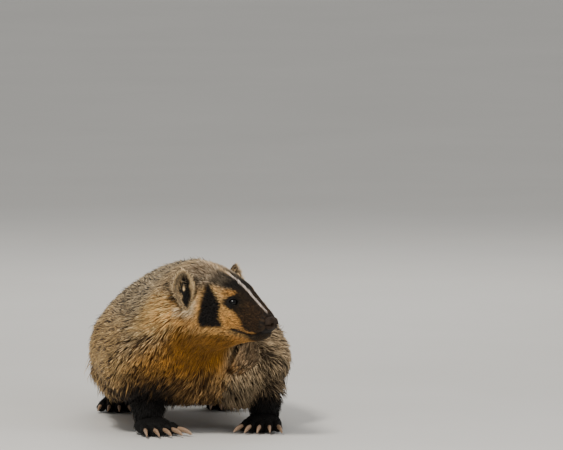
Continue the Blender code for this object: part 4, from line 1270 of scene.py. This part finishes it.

# %% [markdown]
# The lower legs and feet are nearly black with short sleek hair, which turns into the body's own
# colours at the height where each leg leaves the coat.

# %% Coat of the legs and feet
# Where the dark fur of each leg ends: right and left foreleg, then right and left hind leg. The right
# foreleg's dark reaches highest, partly as painted shade under its shoulder.
DARK_TOPS = (0.064, 0.044, 0.052, 0.052)
for number, dark_top in enumerate(DARK_TOPS):
    place, normal, draw = scatter(f"leg_{number}", 3000, 60 + number)
    keep = (outside_body(place) > -0.0150) & (place[:, 2] > 0.013)
    place, normal = place[keep], normal[keep]
    way = np.array([0, 0.32, -1.0]) + draw.normal(0, 0.14, place.shape)
    behind, high = np.clip(normal[:, 1], 0, 1), soft(place[:, 2], 0.050, 0.014)
    length = draw.uniform(0.009, 0.016, len(place)) * (0.7 + 0.9 * high + 0.4 * behind)
    rise = draw.uniform(0.0010, 0.0042, len(place)) + 0.003 * behind
    rise = rise + draw.uniform(0, 0.006, len(place)) * high
    path, up, across = short_paths(place, normal, way, length, rise)
    path[..., 2] = np.maximum(path[..., 2], 0.0015)
    path, _ = gather(path, place, 0.30, 9, 70 + number)
    body = colours_near(place + normal * 0.012)
    upper = soft(path[:, 1, 2], dark_top + 0.003 * wander(place, 0.03, 66), 0.009)
    made = short_coat("legs", (path, up, across), place, blend(LEG, body, upper), draw, 0.24,
                      (0.0008, 0.0013), (0.02 + 0.24 * number, 0.02), (0.22, 0.44))

for number, paw in enumerate(PAWS):
    place, normal, draw = scatter(f"foot_{number}", 2600, 80 + number)
    keep = (place[:, 2] > 0.0045) & (normal[:, 2] > -0.45) & (outside_body(place) > -0.012)
    place, normal = place[keep], normal[keep]
    way = np.array(foot_frame(paw)[0]) + np.array([0, 0, -0.35]) + draw.normal(0, 0.10, place.shape)
    length, rise = draw.uniform(0.0030, 0.0052, len(place)), draw.uniform(0.0003, 0.0010, len(place))
    path, up, across = short_paths(place, normal, way, length, rise)
    path[..., 2] = np.maximum(path[..., 2], 0.0006)
    made = short_coat("legs", (path, up, across), place, alike(LEG, len(place)), draw, 0.22,
                      (0.0005, 0.0008), (0.02 + 0.24 * number, 0.52), (0.22, 0.44))
print("last foot", made, "tufts")

# %% [markdown]
# The ears are edged with pale fur and nearly black inside. The long hairs of the opening spread from
# its middle to the rim, and the hair of the neck runs up behind the ear over its stem.

# %% Coat of the ears
EAR_RIM = hair((0.66, 0.54, 0.37), (0.84, 0.71, 0.52), (1.00, 0.91, 0.73))
EAR_FUR = hair((0.36, 0.31, 0.24), (0.45, 0.39, 0.30), (0.72, 0.64, 0.51))
EAR_BACK = hair((0.17, 0.13, 0.095), (0.20, 0.15, 0.11), (0.38, 0.31, 0.23))
EAR_INSIDE = hair((0.055, 0.045, 0.04), (0.06, 0.05, 0.042), (0.16, 0.13, 0.10))
EAR_UNWRAP = (0.44, 0.94)


def ear_dark(x, y):
    """1 in the dark opening of the ear, which lies nearer to its front edge."""
    ragged = 0.06 * np.sin(9.0 * y + 1.3) + 0.05 * np.sin(17.0 * y + 11.0 * x)
    hole = below(np.hypot((x - 0.14 + ragged) / 0.50, (y + 0.12) / 0.84), 0.90, 0.16)
    return hole * soft(np.hypot((x - 0.02) / 0.9, y - 0.02), 0.10, 0.05)


for number, side in enumerate((-1, 1)):
    centre, open_way, level, rise = ear_frame(side)
    corner_uv = (0.02 + 0.48 * number, 0.02)
    place, normal, draw = scatter(f"ear_{number}", 4600, 90 + number)
    x, y, _ = ear_place(place, side)
    radius = np.hypot(x, y)
    front = (normal @ open_way > 0.05) & (radius < 0.965)
    keep = (~front | (radius > 0.60) | (draw.random(len(place)) < 0.45)) & (outside_body(place) > -0.006)
    place, normal, x, y, radius, front = (v[keep] for v in (place, normal, x, y, radius, front))
    outwards = (ear_fore(side) * x[:, None] * level + y[:, None] * rise) / (radius[:, None] + 1e-6)
    way = outwards + np.array([0, 0, 0.35]) + draw.normal(0, 0.22, place.shape)
    inner, outer = draw.uniform(0.0030, 0.0075, len(place)), draw.uniform(0.0030, 0.0060, len(place))
    length = np.where(front, inner, outer)
    length = length * np.where(radius > 0.9, 0.55, 1.0)
    lift = draw.uniform(0.0002, 0.0011, len(place))
    lift = lift + front * draw.uniform(0.0, 0.0022, len(place)) * (radius < 0.8)
    tone = layered(
        alike(EAR_BACK, len(place)),
        (EAR_RIM, soft(radius, 0.90, 0.05)),
        (EAR_FUR, front * 1.0),
        (EAR_RIM, front * np.maximum(soft(radius, 0.82, 0.06), 0.7 * soft(x, 0.58, 0.12))),
        (EAR_INSIDE, front * ear_dark(x, y)),
    )
    paths = short_paths(place, normal, way, length, lift)
    short_coat("ears", paths, place, tone, draw, 0.16, (0.0004, 0.0007), corner_uv, EAR_UNWRAP)
    place, normal, draw = scatter(f"stem_{number}", 1400, 94 + number)
    keep = ((place - centre) @ open_way < -0.011) & (outside_body(place) > -0.014)
    place, normal = place[keep], normal[keep]
    way = -np.array(head_direction(1, 0, 0)) + np.array([0, 0, -0.5]) + draw.normal(0, 0.18, place.shape)
    length, lift = draw.uniform(0.009, 0.015, len(place)), draw.uniform(0.002, 0.006, len(place))
    paths, tone = short_paths(place, normal, way, length, lift), colours_near(place + normal * 0.006)
    short_coat("ears", paths, place, tone, draw, 0.24, (0.0007, 0.0011), corner_uv, EAR_UNWRAP)
print("groups so far", sorted(coat_groups))

# %% [markdown]
# The tail is a short brush. Its hairs start along a thin core and run past its end, so each path is
# worked out from the tail's own midline: how far along it, and at which turn about it.

# %% Coat of the tail
TAIL_HAIR = hair((0.36, 0.28, 0.18), (0.17, 0.13, 0.09), (0.80, 0.69, 0.51))
TAIL_OUTLINE = [
    (0.0, 0.0190), (0.25, 0.0225), (0.55, 0.0225), (0.80, 0.0190),
    (0.95, 0.0140), (1.06, 0.0075), (1.16, 0.0015),
]
TAIL_TUFTS = 5600
draw = np.random.default_rng(101)
part, turn = draw.uniform(0.0, 1.0, TAIL_TUFTS) ** 0.85, draw.uniform(0, TURN, TAIL_TUFTS)
part = np.where(draw.random(TAIL_TUFTS) < 0.14, draw.uniform(0.0, 0.12, TAIL_TUFTS), part)
end = np.minimum(part + draw.uniform(0.22, 0.36, TAIL_TUFTS), draw.uniform(1.02, 1.15, TAIL_TUFTS))
lift, drift = draw.uniform(0.55, 1.12, TAIL_TUFTS), draw.normal(0, 0.30, TAIL_TUFTS)
made = []
for t in PARTS_OF_WAY.ravel():
    reach = part + (end - part) * t
    point, radius = tail_point(reach)
    way = unit(tail_point(reach + 0.01)[0] - tail_point(reach - 0.03)[0])
    level = unit(np.cross(np.array([0, 0, 1.0]), way))
    angle = (turn + drift * t)[:, None]
    out = level * np.cos(angle) + np.cross(way, level) * np.sin(angle) * 0.86
    core = radius * 0.9
    swell = core + (through(TAIL_OUTLINE, reach) - core) * (1 - (1 - t) ** 1.6) * lift
    made.append((point + out * swell[:, None], out, np.cross(out, way)))
path, up, across = (np.stack(arrays, 1) for arrays in zip(*made))
path, _ = gather(path, path[:, 0], 0.45, 8, 102)
tone = alike(TAIL_HAIR, TAIL_TUFTS)[:, [0, 1, 2, 2]]
tone[:, 1:] = lit(tone[:, 1:], 1 - 0.35 * soft(end, 1.00, 0.10))
dark = draw.random(TAIL_TUFTS) < 0.5
tone[dark, 2] = tone[dark, 1]
at_base = below(part, 0.18, 0.10)[:, None, None]
tone[:, :2] = tone[:, :2] + (tone[:, 3:] * 0.55 - tone[:, :2]) * at_base * 0.85
tone = jitter(tone, draw, 0.26)
unwrap = np.stack([turn / TURN * 0.94 + 0.03, part * 0.94 + 0.03], 1)
print("tail", long_coat("tail", path, up, across, (0.0010, 0.0018), tone, draw, unwrap), "tufts")

# %% [markdown]
# All tufts of a region could be one huge mesh, but a shared part is easier to use in pieces of a
# bounded size. So each region is cut into lots between one tuft and the next, and every piece carries
# its colours and its own unwrap for baking.

# %% Join the tufts into pieces
MOST_TRIANGLES = 190000
hair_pieces = []
for group, blocks in coat_groups.items():
    points, hue, uv = (np.concatenate([block[i].reshape(-1, size) for block in blocks])
                       for i, size in ((0, 3), (2, 3), (3, 2)))
    base, faces = 0, []
    for block, index, _, _ in blocks:
        count, per = block.shape[:2]
        faces.append((index + base + (np.arange(count) * per)[:, None, None]).reshape(-1, 3))
        base += count * per
    faces = np.concatenate(faces)
    per_tuft = blocks[0][1].shape[1]
    lots = np.array_split(np.arange(len(faces) // per_tuft), int(np.ceil(len(faces) / MOST_TRIANGLES)))
    for number, lot in enumerate(lots):
        chosen = faces[lot[0] * per_tuft:(lot[-1] + 1) * per_tuft]
        first, last = chosen.min(), chosen.max() + 1
        piece = mesh_piece(f"coat_{group}_{number + 1}", points[first:last], chosen - first)
        paint(piece, hue[first:last])
        layer = piece.data.uv_layers.new(name="OFBake")
        layer.data.foreach_set("uv", uv[first:last][(chosen - first).ravel()].astype(np.float32).ravel())
        hair_pieces.append(piece)
print("coat pieces", len(hair_pieces), "triangles", sum(len(p.data.polygons) for p in hair_pieces))

# %% [markdown]
# The skin shows only in the parting between tufts and round the eyes, lips and soles, yet it carries
# the same markings as the coat, so that nothing pale shines through a dark patch.

# %% Markings of the skin
BARE_LID = linear(0.055, 0.045, 0.042)
spots = np.array([v.co for v in skin.data.vertices])
tone, away = colours_near(spots), outside_body(spots)
skin_hue = tone[:, 0] * 0.55 + tone[:, 1] * 0.45
skin_hue[(spots[:, 2] < 0.062) & (away > -0.0125)] = LEG[1]
skin_hue[(spots[:, 1] > 0.325) & (away > -0.004)] = TAIL_HAIR[0] * 0.6 + TAIL_HAIR[2] * 0.25
for side in (-1, 1):
    x, y, depth = ear_place(spots, side)
    radius = np.hypot(x, y)
    on_ear = (radius < 1.03) & (depth > -0.0172) & (depth < 0.006)
    inside = ear_dark(x, y) * (radius < 0.95)
    shell = EAR_RIM[1] + (EAR_INSIDE[1] - EAR_RIM[1]) * inside[:, None]
    skin_hue[on_ear] = shell[on_ear]
    eye_away = np.linalg.norm(spots - np.array(eyes[side][0]), axis=1)
    skin_hue[eye_away < EYE_RADIUS + 0.0016] = BARE_LID
paint(skin, skin_hue)
print("skin marked", len(spots), "points")

# %% [markdown]
# Eyes, nose, claws and whiskers are pieces of their own. Each eye is a plain ball in its socket; the
# lids are the skin round it. The nose has two round openings, each with a slit to the side. They could
# be painted, but cut hollows stay dark under any light, so they are cut with small rounded forms.

# %% Eyes and nose
EYE_NAMES = {-1: "right", 1: "left"}
eye_pieces = {side: round_ball(f"eyeball_{name}", eyes[side][0], EYE_RADIUS, 2)
              for side, name in EYE_NAMES.items()}
nose = nose_form("nose_leather")
ahead, left = head_direction(1, 0, 0), head_direction(0, 1, 0)


def near_nose(name, forward, across, up, axes, rows, around):
    """A small form that is cut from the nose, placed from the nose's middle."""
    at = head_point(NOSE_CENTRE[0] + forward, across, NOSE_CENTRE[1] + up)
    return ball(name, at, axes, rows, around)


holes = []
for side in (-1, 1):
    opening = [ahead * 0.0042, left * 0.0023, Vector((0, 0, 0.0026))]
    holes.append(near_nose("hole", 0.0075, side * 0.0052, -0.0010, opening, 20, 28))
    outwards = head_direction(0.55, side * 0.83, 0)
    slit = [outwards.cross(Vector((0, 0, 1))) * 0.0042, outwards * 0.0026, Vector((0, 0, 0.0011))]
    holes.append(near_nose("slit", 0.0048, side * 0.0096, -0.0022, slit, 16, 24))
groove = [ahead * 0.0007, left * 0.0004, Vector((0, 0, 0.0040))]
holes.append(near_nose("groove", NOSE_HALF[0], 0, -0.0045, groove, 16, 20))
boolean(nose, "DIFFERENCE", holes)
for piece in (*eye_pieces.values(), nose):
    shade_smooth(piece)
print("nose faces", len(nose.data.polygons))

# %% [markdown]
# A badger has five claws on each foot and some whiskers on each side of its muzzle. All claws share one
# form and all whiskers another, and only their size and way differ. Copies made by hand would hide
# that, so Geometry Nodes set a form on loose points: each point says where its copy aims and how long
# and thick it is.

# %% Points and forms to copy
def aim_points(name, places, ways, sizes):
    """Loose points, each with the way that its copy points and its length and thickness."""
    mesh = bpy.data.meshes.new(name)
    mesh.from_pydata([tuple(p) for p in places], [], [])
    for label, values in (("aim", ways), ("size", sizes)):
        layer = mesh.attributes.new(label, "FLOAT_VECTOR", "POINT")
        layer.data.foreach_set("vector", np.array([tuple(v) for v in values], np.float32).ravel())
    return add_object(name, mesh)


def curved_rod(name, bend, radii, rows, around):
    """A rod one unit long that starts along X and bends down, with radii that run to its tip."""
    t = np.linspace(0, 1, rows)
    path = [Vector((x, 0, -bend * x**1.7)) for x in t]
    return tube(name, path, np.interp(t, np.linspace(0, 1, len(radii)), radii), around)


print("claws to set out:", 5 * len(PAWS))

# %% [markdown]
# The tree reads the aim and the size of each point, turns and scales a copy of the form, and makes all
# copies real at its end. A fixed seed keeps the small differences the same each time.

# %% The node tree that copies
COPY_SEED = 7
SOCKETS = {"Geometry": "Geometry", "Form": "Object", "Size": "Float", "Uneven": "Float", "Finish": "Material"}


def copies_tree():
    """A node tree that puts one form on every point, turned along its aim and scaled by its size."""
    tree = bpy.data.node_groups.new("Copies along aims", "GeometryNodeTree")
    for label, kind in SOCKETS.items():
        tree.interface.new_socket(label, in_out="INPUT", socket_type=f"NodeSocket{kind}")
    tree.interface.new_socket("Geometry", in_out="OUTPUT", socket_type="NodeSocketGeometry")

    def node(kind, **settings):
        made = tree.nodes.new(kind)
        for name, value in settings.items():
            setattr(made, name, value)
        return made

    start, end = node("NodeGroupInput"), node("NodeGroupOutput")
    form = node("GeometryNodeObjectInfo", transform_space="ORIGINAL")
    aim = node("GeometryNodeInputNamedAttribute", data_type="FLOAT_VECTOR")
    size = node("GeometryNodeInputNamedAttribute", data_type="FLOAT_VECTOR")
    aim.inputs["Name"].default_value, size.inputs["Name"].default_value = "aim", "size"
    turn = node("FunctionNodeAlignRotationToVector", axis="X", pivot_axis="AUTO")
    level = node("FunctionNodeAlignRotationToVector", axis="Z", pivot_axis="X")
    level.inputs["Vector"].default_value = (0, 0, 1)
    random = node("FunctionNodeRandomValue", data_type="FLOAT")
    random.inputs["Seed"].default_value = COPY_SEED
    low, high = node("ShaderNodeMath", operation="SUBTRACT"), node("ShaderNodeMath", operation="ADD")
    low.inputs[0].default_value = high.inputs[0].default_value = 1.0
    scaled = node("ShaderNodeVectorMath", operation="SCALE")
    both = node("ShaderNodeMath", operation="MULTIPLY")
    place = node("GeometryNodeInstanceOnPoints")
    real, finish = node("GeometryNodeRealizeInstances"), node("GeometryNodeSetMaterial")
    for source, out, target, into in (
        (start, "Form", form, "Object"),
        (aim, "Attribute", turn, "Vector"), (turn, "Rotation", level, "Rotation"),
        (start, "Uneven", low, 1), (start, "Uneven", high, 1), (low, 0, random, 2), (high, 0, random, 3),
        (random, 1, both, 0), (start, "Size", both, 1),
        (size, "Attribute", scaled, 0), (both, 0, scaled, "Scale"),
        (start, "Geometry", place, "Points"), (form, "Geometry", place, "Instance"),
        (level, "Rotation", place, "Rotation"), (scaled, 0, place, "Scale"),
        (place, "Instances", real, "Geometry"), (real, "Geometry", finish, "Geometry"),
        (start, "Finish", finish, "Material"), (finish, "Geometry", end, "Geometry"),
    ):
        tree.links.new(source.outputs[out], target.inputs[into])
    return tree


copies = copies_tree()
identifiers = {item.name: item.identifier for item in copies.interface.items_tree if item.in_out == "INPUT"}


def set_out(name, points, form, size, uneven, finish):
    """Copies the form on to the points and turns the result into a plain mesh piece."""
    holder = points.modifiers.new("copies", "NODES")
    holder.node_group = copies
    for label, value in (("Form", form), ("Size", size), ("Uneven", uneven), ("Finish", finish)):
        holder[identifiers[label]] = value
    finished(points)
    points.name = points.data.name = name
    bpy.data.objects.remove(form)
    shade_smooth(points)
    print(name, len(points.data.polygons), "faces")
    return points


print("nodes in the tree", len(copies.nodes))

# %% [markdown]
# Materials are written as sums and products of sockets. They could be wired node by node, but a sum
# that reads as a sum is easier to check. A small class stands for one socket and adds the nodes that
# each sign needs.

# %% A socket that can be used in a sum
class Value:
    """One output socket of a material; arithmetic with it adds the nodes that the sum needs."""

    def __init__(self, tree, socket):
        self.tree, self.socket = tree, socket

    def node(self, kind, output=0, settings=None, **inputs):
        """Adds any node, with its settings and its inputs by name or number, and gives one output."""
        made = self.tree.nodes.new(kind)
        for name, value in (settings or {}).items():
            setattr(made, name, value)
        for name, value in inputs.items():
            numbered = name.startswith("in") and name[2:].isdigit()
            target = made.inputs[int(name[2:]) if numbered else name.replace("_", " ")]
            if isinstance(value, Value):
                self.tree.links.new(value.socket, target)
            else:
                target.default_value = value
        return Value(self.tree, made.outputs[output])

    def sum(self, operation, first, second):
        return self.node("ShaderNodeMath", settings={"operation": operation}, in0=first, in1=second, in2=0.0)

    def __add__(self, other): return self.sum("ADD", self, other)
    def __radd__(self, other): return self.sum("ADD", other, self)
    def __sub__(self, other): return self.sum("SUBTRACT", self, other)
    def __rsub__(self, other): return self.sum("SUBTRACT", other, self)
    def __mul__(self, other): return self.sum("MULTIPLY", self, other)
    def __rmul__(self, other): return self.sum("MULTIPLY", other, self)
    def __truediv__(self, other): return self.sum("DIVIDE", self, other)
    def __rtruediv__(self, other): return self.sum("DIVIDE", other, self)

    def between(self, low, high):
        """0 below low, 1 above high, smooth in between."""
        return self.node("ShaderNodeMapRange", settings={"interpolation_type": "SMOOTHSTEP"},
                         Value=self, From_Min=low, From_Max=high)

    def colour_to(self, first, second):
        """A colour that runs from first to second as this value runs from 0 to 1."""
        return self.node("ShaderNodeMix", 2, {"data_type": "RGBA"}, in0=self, in6=first, in7=second)

    def times(self, value):
        """This colour made lighter or darker by a value."""
        grey = self.node("ShaderNodeCombineColor", Red=value, Green=value, Blue=value)
        settings = {"data_type": "RGBA", "blend_type": "MULTIPLY"}
        return self.node("ShaderNodeMix", 2, settings, in0=1.0, in6=self, in7=grey)


def material(name, **fixed):
    """A material with its uniform values set, its tree's first socket and its surface shader."""
    made = bpy.data.materials.new(name)
    made.use_nodes = True
    shader = made.node_tree.nodes["Principled BSDF"]
    for label, value in fixed.items():
        shader.inputs[label.replace("_", " ")].default_value = value
    where = made.node_tree.nodes.new("ShaderNodeTexCoord")
    return made, Value(made.node_tree, where.outputs["Object"]), shader


def feed(shader, label, value):
    value.tree.links.new(value.socket, shader.inputs[label])


def noise(where, scale, detail=3.0, rough=0.55):
    return where.node("ShaderNodeTexNoise", 0, Vector=where, Scale=scale, Detail=detail, Roughness=rough)


def bumped(shader, height, strength, distance):
    feed(shader, "Normal", height.node("ShaderNodeBump", Height=height, Strength=strength, Distance=distance))


def rgb(*colour):
    return (*[float(c) for c in linear(*colour)], 1.0)


print("a dark brown as the shader takes it", [round(c, 4) for c in rgb(0.10, 0.056, 0.030)])

# %% [markdown]
# Guard hair is dull and a little uneven along its length, and the skin between the roots is duller
# still. Both read the colour that was stored at each point, and a fine noise in the object's own space
# breaks it up.

# %% Coat and skin materials
coat, where, shader = material("coat hair", Roughness=0.62, Specular_IOR_Level=0.28)
hue = where.node("ShaderNodeAttribute", 0, {"attribute_name": "coat"})
grain = noise(where, 260.0, 2.0)
feed(shader, "Base Color", hue.times(0.82 + 0.36 * grain))
feed(shader, "Roughness", 0.54 + 0.16 * noise(where, 90.0))

hide, where, shader = material("skin under the coat", Specular_IOR_Level=0.25)
hue = where.node("ShaderNodeAttribute", 0, {"attribute_name": "coat"})
strands = noise(where, 420.0, 4.0, 0.6)
feed(shader, "Base Color", hue.times(0.55 + 0.75 * strands))
feed(shader, "Roughness", 0.70 + 0.15 * noise(where, 120.0))
bumped(shader, strands, 0.8, 0.0008)
print("nodes of the skin", len(hide.node_tree.nodes))

# %% [markdown]
# The eye is wet and nearly black, with a brown ring that shows only close up; it is coloured by how
# far a point faces the way the eye looks. The nose has fine pores, so the distance to the edge of
# small cells makes both its colour and its bumps. Claw horn is streaked along its length.

# %% Eye, nose and claw materials
eye_materials = {}
for side, name in EYE_NAMES.items():
    centre, look = eyes[side]
    made, where, shader = material(f"eye {name}", Roughness=0.07, IOR=1.36)
    offset = where.node("ShaderNodeVectorMath", 0, {"operation": "SUBTRACT"}, in0=where, in1=tuple(centre))
    dot_product = {"operation": "DOT_PRODUCT"}
    facing = offset.node("ShaderNodeVectorMath", 1, dot_product, in0=offset, in1=tuple(look)) / EYE_RADIUS
    iris = noise(where, 1500.0, 3.0).colour_to(rgb(0.045, 0.026, 0.016), rgb(0.10, 0.056, 0.030))
    iris = facing.between(0.905, 0.945).colour_to(iris, rgb(0.012, 0.01, 0.01))
    feed(shader, "Base Color", facing.between(0.50, 0.66).colour_to(rgb(0.05, 0.035, 0.03), iris))
    eye_materials[side] = made

leather, where, shader = material("nose leather", Specular_IOR_Level=0.20)
cells = where.node("ShaderNodeTexVoronoi", 0, {"feature": "DISTANCE_TO_EDGE"}, Vector=where, Scale=900.0)
pores = cells.between(0.0, 0.28)
tint = noise(where, 160.0).colour_to(rgb(0.075, 0.052, 0.036), rgb(0.24, 0.175, 0.12))
feed(shader, "Base Color", tint.times(0.6 + 0.5 * pores))
feed(shader, "Roughness", 0.68 - 0.14 * pores)
bumped(shader, pores, 0.55, 0.0004)

horn, where, shader = material("claw horn", Specular_IOR_Level=0.5)
stretched = where.node("ShaderNodeVectorMath", 0, {"operation": "MULTIPLY"}, in0=where, in1=(1.0, 0.22, 0.6))
streaks = noise(stretched, 900.0, 4.0)
feed(shader, "Base Color", streaks.colour_to(rgb(0.36, 0.27, 0.20), rgb(0.72, 0.60, 0.49)))
feed(shader, "Roughness", 0.32 + 0.22 * streaks)
bumped(shader, streaks, 0.35, 0.0003)

bristle, where, shader = material("whisker", Specular_IOR_Level=0.4)
feed(shader, "Base Color", noise(where, 300.0).colour_to(rgb(0.05, 0.04, 0.035), rgb(0.16, 0.13, 0.10)))
feed(shader, "Roughness", 0.40 + 0.10 * noise(where, 200.0))
print("materials", len(bpy.data.materials))

# %% [markdown]
# The fore claws are long and pale, made for digging, and the hind claws are short. The whiskers sit in
# rows on the upper lip and point back and down. They could all be equal, but real ones never are, so
# each gets a little of its own length and way.

# %% Set out the claws and whiskers
WHISKERS_A_SIDE, FORE_CLAW_LEAST = 13, 0.02
CLAW_RADII, WHISKER_RADII = [0.36, 0.46, 0.42, 0.33, 0.22, 0.09], [0.5, 0.42, 0.3, 0.06]
WHISKER_THICK, WHISKER_BEND = 0.00042, 0.35 / 0.05 * 0.02
claw_points, whisker_points = [], []
for paw in PAWS:
    claw = foot_frame(paw)[-1]
    for _, _, end, way in toes(paw):
        size = (claw + 0.0010, 0.0052, 0.0062 if claw > FORE_CLAW_LEAST else 0.0056)
        claw_points.append((end - way * 0.0015 + Vector((0, 0, 0.0026)), way, size))
claws = set_out("claws", aim_points("claw_points", *zip(*claw_points)),
                curved_rod("claw_form", 1.0, CLAW_RADII, 18, 14), 1.0, 0.03, horn)

draw = np.random.default_rng(117)
for side in (-1, 1):
    for number in range(WHISKERS_A_SIDE):
        s = 0.150 + 0.0035 * (number % 5) + draw.uniform(-0.001, 0.001)
        height = 0.1405 + 0.0035 * (number // 5) + draw.uniform(-0.0008, 0.0008)
        at = surface_frame(np.array(s), np.array(theta_at(s, height, side)))
        aim = head_direction(-0.35 - 0.25 * draw.random(), side * 0.9, -0.28 + 0.18 * draw.random())
        size = (draw.uniform(0.016, 0.028), WHISKER_THICK, WHISKER_THICK)
        whisker_points.append((at[0] - at[3] * 0.0012, aim, size))
whiskers = set_out("whiskers", aim_points("whisker_points", *zip(*whisker_points)),
                   curved_rod("whisker_form", WHISKER_BEND, WHISKER_RADII, 10, 5), 1.0, 0.12, bristle)
print("claws", len(claw_points), "whiskers", len(whisker_points))

# %% [markdown]
# Everything was built about a point between the shoulders. The imported model has its own place, so all
# pieces are moved by one shift, found from the left eye, which both have. Then each piece is tied to the one
# body.

# %% Move everything into the imported frame
WIDEST = 0.1318  # the tip of no tuft reaches further to a side than this
low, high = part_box("eye_left")
middle = [(low[i] + high[i]) / 2 for i in range(3)]
shift = np.array(middle) - np.array(eyes[1][0])
pieces = hair_pieces + [skin, nose, claws, whiskers] + list(eye_pieces.values())
for piece in pieces:
    mesh = piece.data
    places = np.empty(len(mesh.vertices) * 3, np.float32)
    mesh.vertices.foreach_get("co", places)
    places = places.reshape(-1, 3) + shift
    places[:, 0] = np.clip(places[:, 0], -WIDEST, WIDEST)
    mesh.vertices.foreach_set("co", places.astype(np.float32).ravel())
    mesh.update()
for piece, finish in ([(piece, coat) for piece in hair_pieces] + [(skin, hide), (nose, leather)]
                      + [(piece, eye_materials[side]) for side, piece in eye_pieces.items()]):
    piece.data.materials.clear()
    piece.data.materials.append(finish)
print("shift", shift.round(5))

# %% [markdown]
# Nothing on this model moves, so every piece rides on the one body. The skin covers all solids of flesh
# without a seam, so they are hidden, as are the imported nose and eyes.

# %% Tie the pieces to the model
PAIRS = ("ear", "foreleg", "hindleg", "forepaw", "hindpaw")
FLESH = ["head", "neck", "torso", "tail"] + [f"{part}_{side}" for part in PAIRS for side in ("left", "right")]
for piece in pieces:
    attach(piece, "root")
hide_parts(*FLESH)
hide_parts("nose")
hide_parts("eye_right")
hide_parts("eye_left")
print("pieces", len(pieces), "triangles", sum(len(p.data.polygons) for p in pieces))

# %% [markdown]
# A pale plain floor and broad soft lights, as in a museum. A dark room would be more striking, but dark
# legs need light from below, which a pale floor gives. The camera stands far off, low and a little to
# the badger's right, where the photo was taken from.

# %% Floor, light and camera
FLOOR_HALF = 25
corners = [(x * FLOOR_HALF, y * FLOOR_HALF, 0) for x, y in ((-1, -1), (1, -1), (1, 1), (-1, 1))]
floor = mesh_piece("floor", corners, [(0, 1, 2, 3)])
ground, where, shader = material("pale floor", Specular_IOR_Level=0.3)
feed(shader, "Base Color", noise(where, 3.0).colour_to(rgb(0.80, 0.79, 0.77), rgb(0.84, 0.83, 0.81)))
feed(shader, "Roughness", 0.60 + 0.10 * noise(where, 30.0))
floor.data.materials.append(ground)

world = bpy.data.worlds.new("studio")
world.use_nodes = True
sky = world.node_tree.nodes["Background"]
sky.inputs["Color"].default_value, sky.inputs["Strength"].default_value = (0.87, 0.87, 0.86, 1.0), 0.62
bpy.context.scene.world = world


def soft_light(name, place, aim, size, watts, colour, glints=False):
    light = bpy.data.lights.new(name, "AREA")
    light.shape, light.size, light.energy, light.color = "DISK", size, watts, colour
    lamp = add_object(name, light)
    lamp.location, lamp.visible_glossy = place, glints
    lamp.rotation_euler = (Vector(aim) - Vector(place)).to_track_quat("-Z", "Y").to_euler()


centre = Vector((0.0, 0.0, 0.11))
soft_light("key", (-0.9, -1.5, 1.9), centre, 0.45, 54, (1.0, 0.96, 0.90), glints=True)
soft_light("fill", (1.5, -2.0, 0.7), centre, 1.6, 26, (0.97, 0.98, 1.0))
soft_light("back", (0.5, 1.9, 1.6), centre, 1.2, 22, (1.0, 0.98, 0.95))

TURN_OF_CAMERA, TILT, DISTANCE, FRAME_WIDTH = math.radians(-10), math.radians(5), 16.0, 0.704
SENSOR = 36.0
target = Vector((0.0930, -0.0164, 0.2598)) + Vector(shift)
camera = add_object("camera", bpy.data.cameras.new("camera"))
level = math.cos(TILT)
away = Vector((math.sin(TURN_OF_CAMERA) * level, -math.cos(TURN_OF_CAMERA) * level, math.sin(TILT)))
camera.location = target + away * DISTANCE
camera.rotation_euler = (-away).to_track_quat("-Z", "Y").to_euler()
camera.data.sensor_width, camera.data.lens = SENSOR, SENSOR * DISTANCE / FRAME_WIDTH
camera.data.clip_end = 80.0
bpy.context.scene.camera = camera
print("lens", round(camera.data.lens, 1))
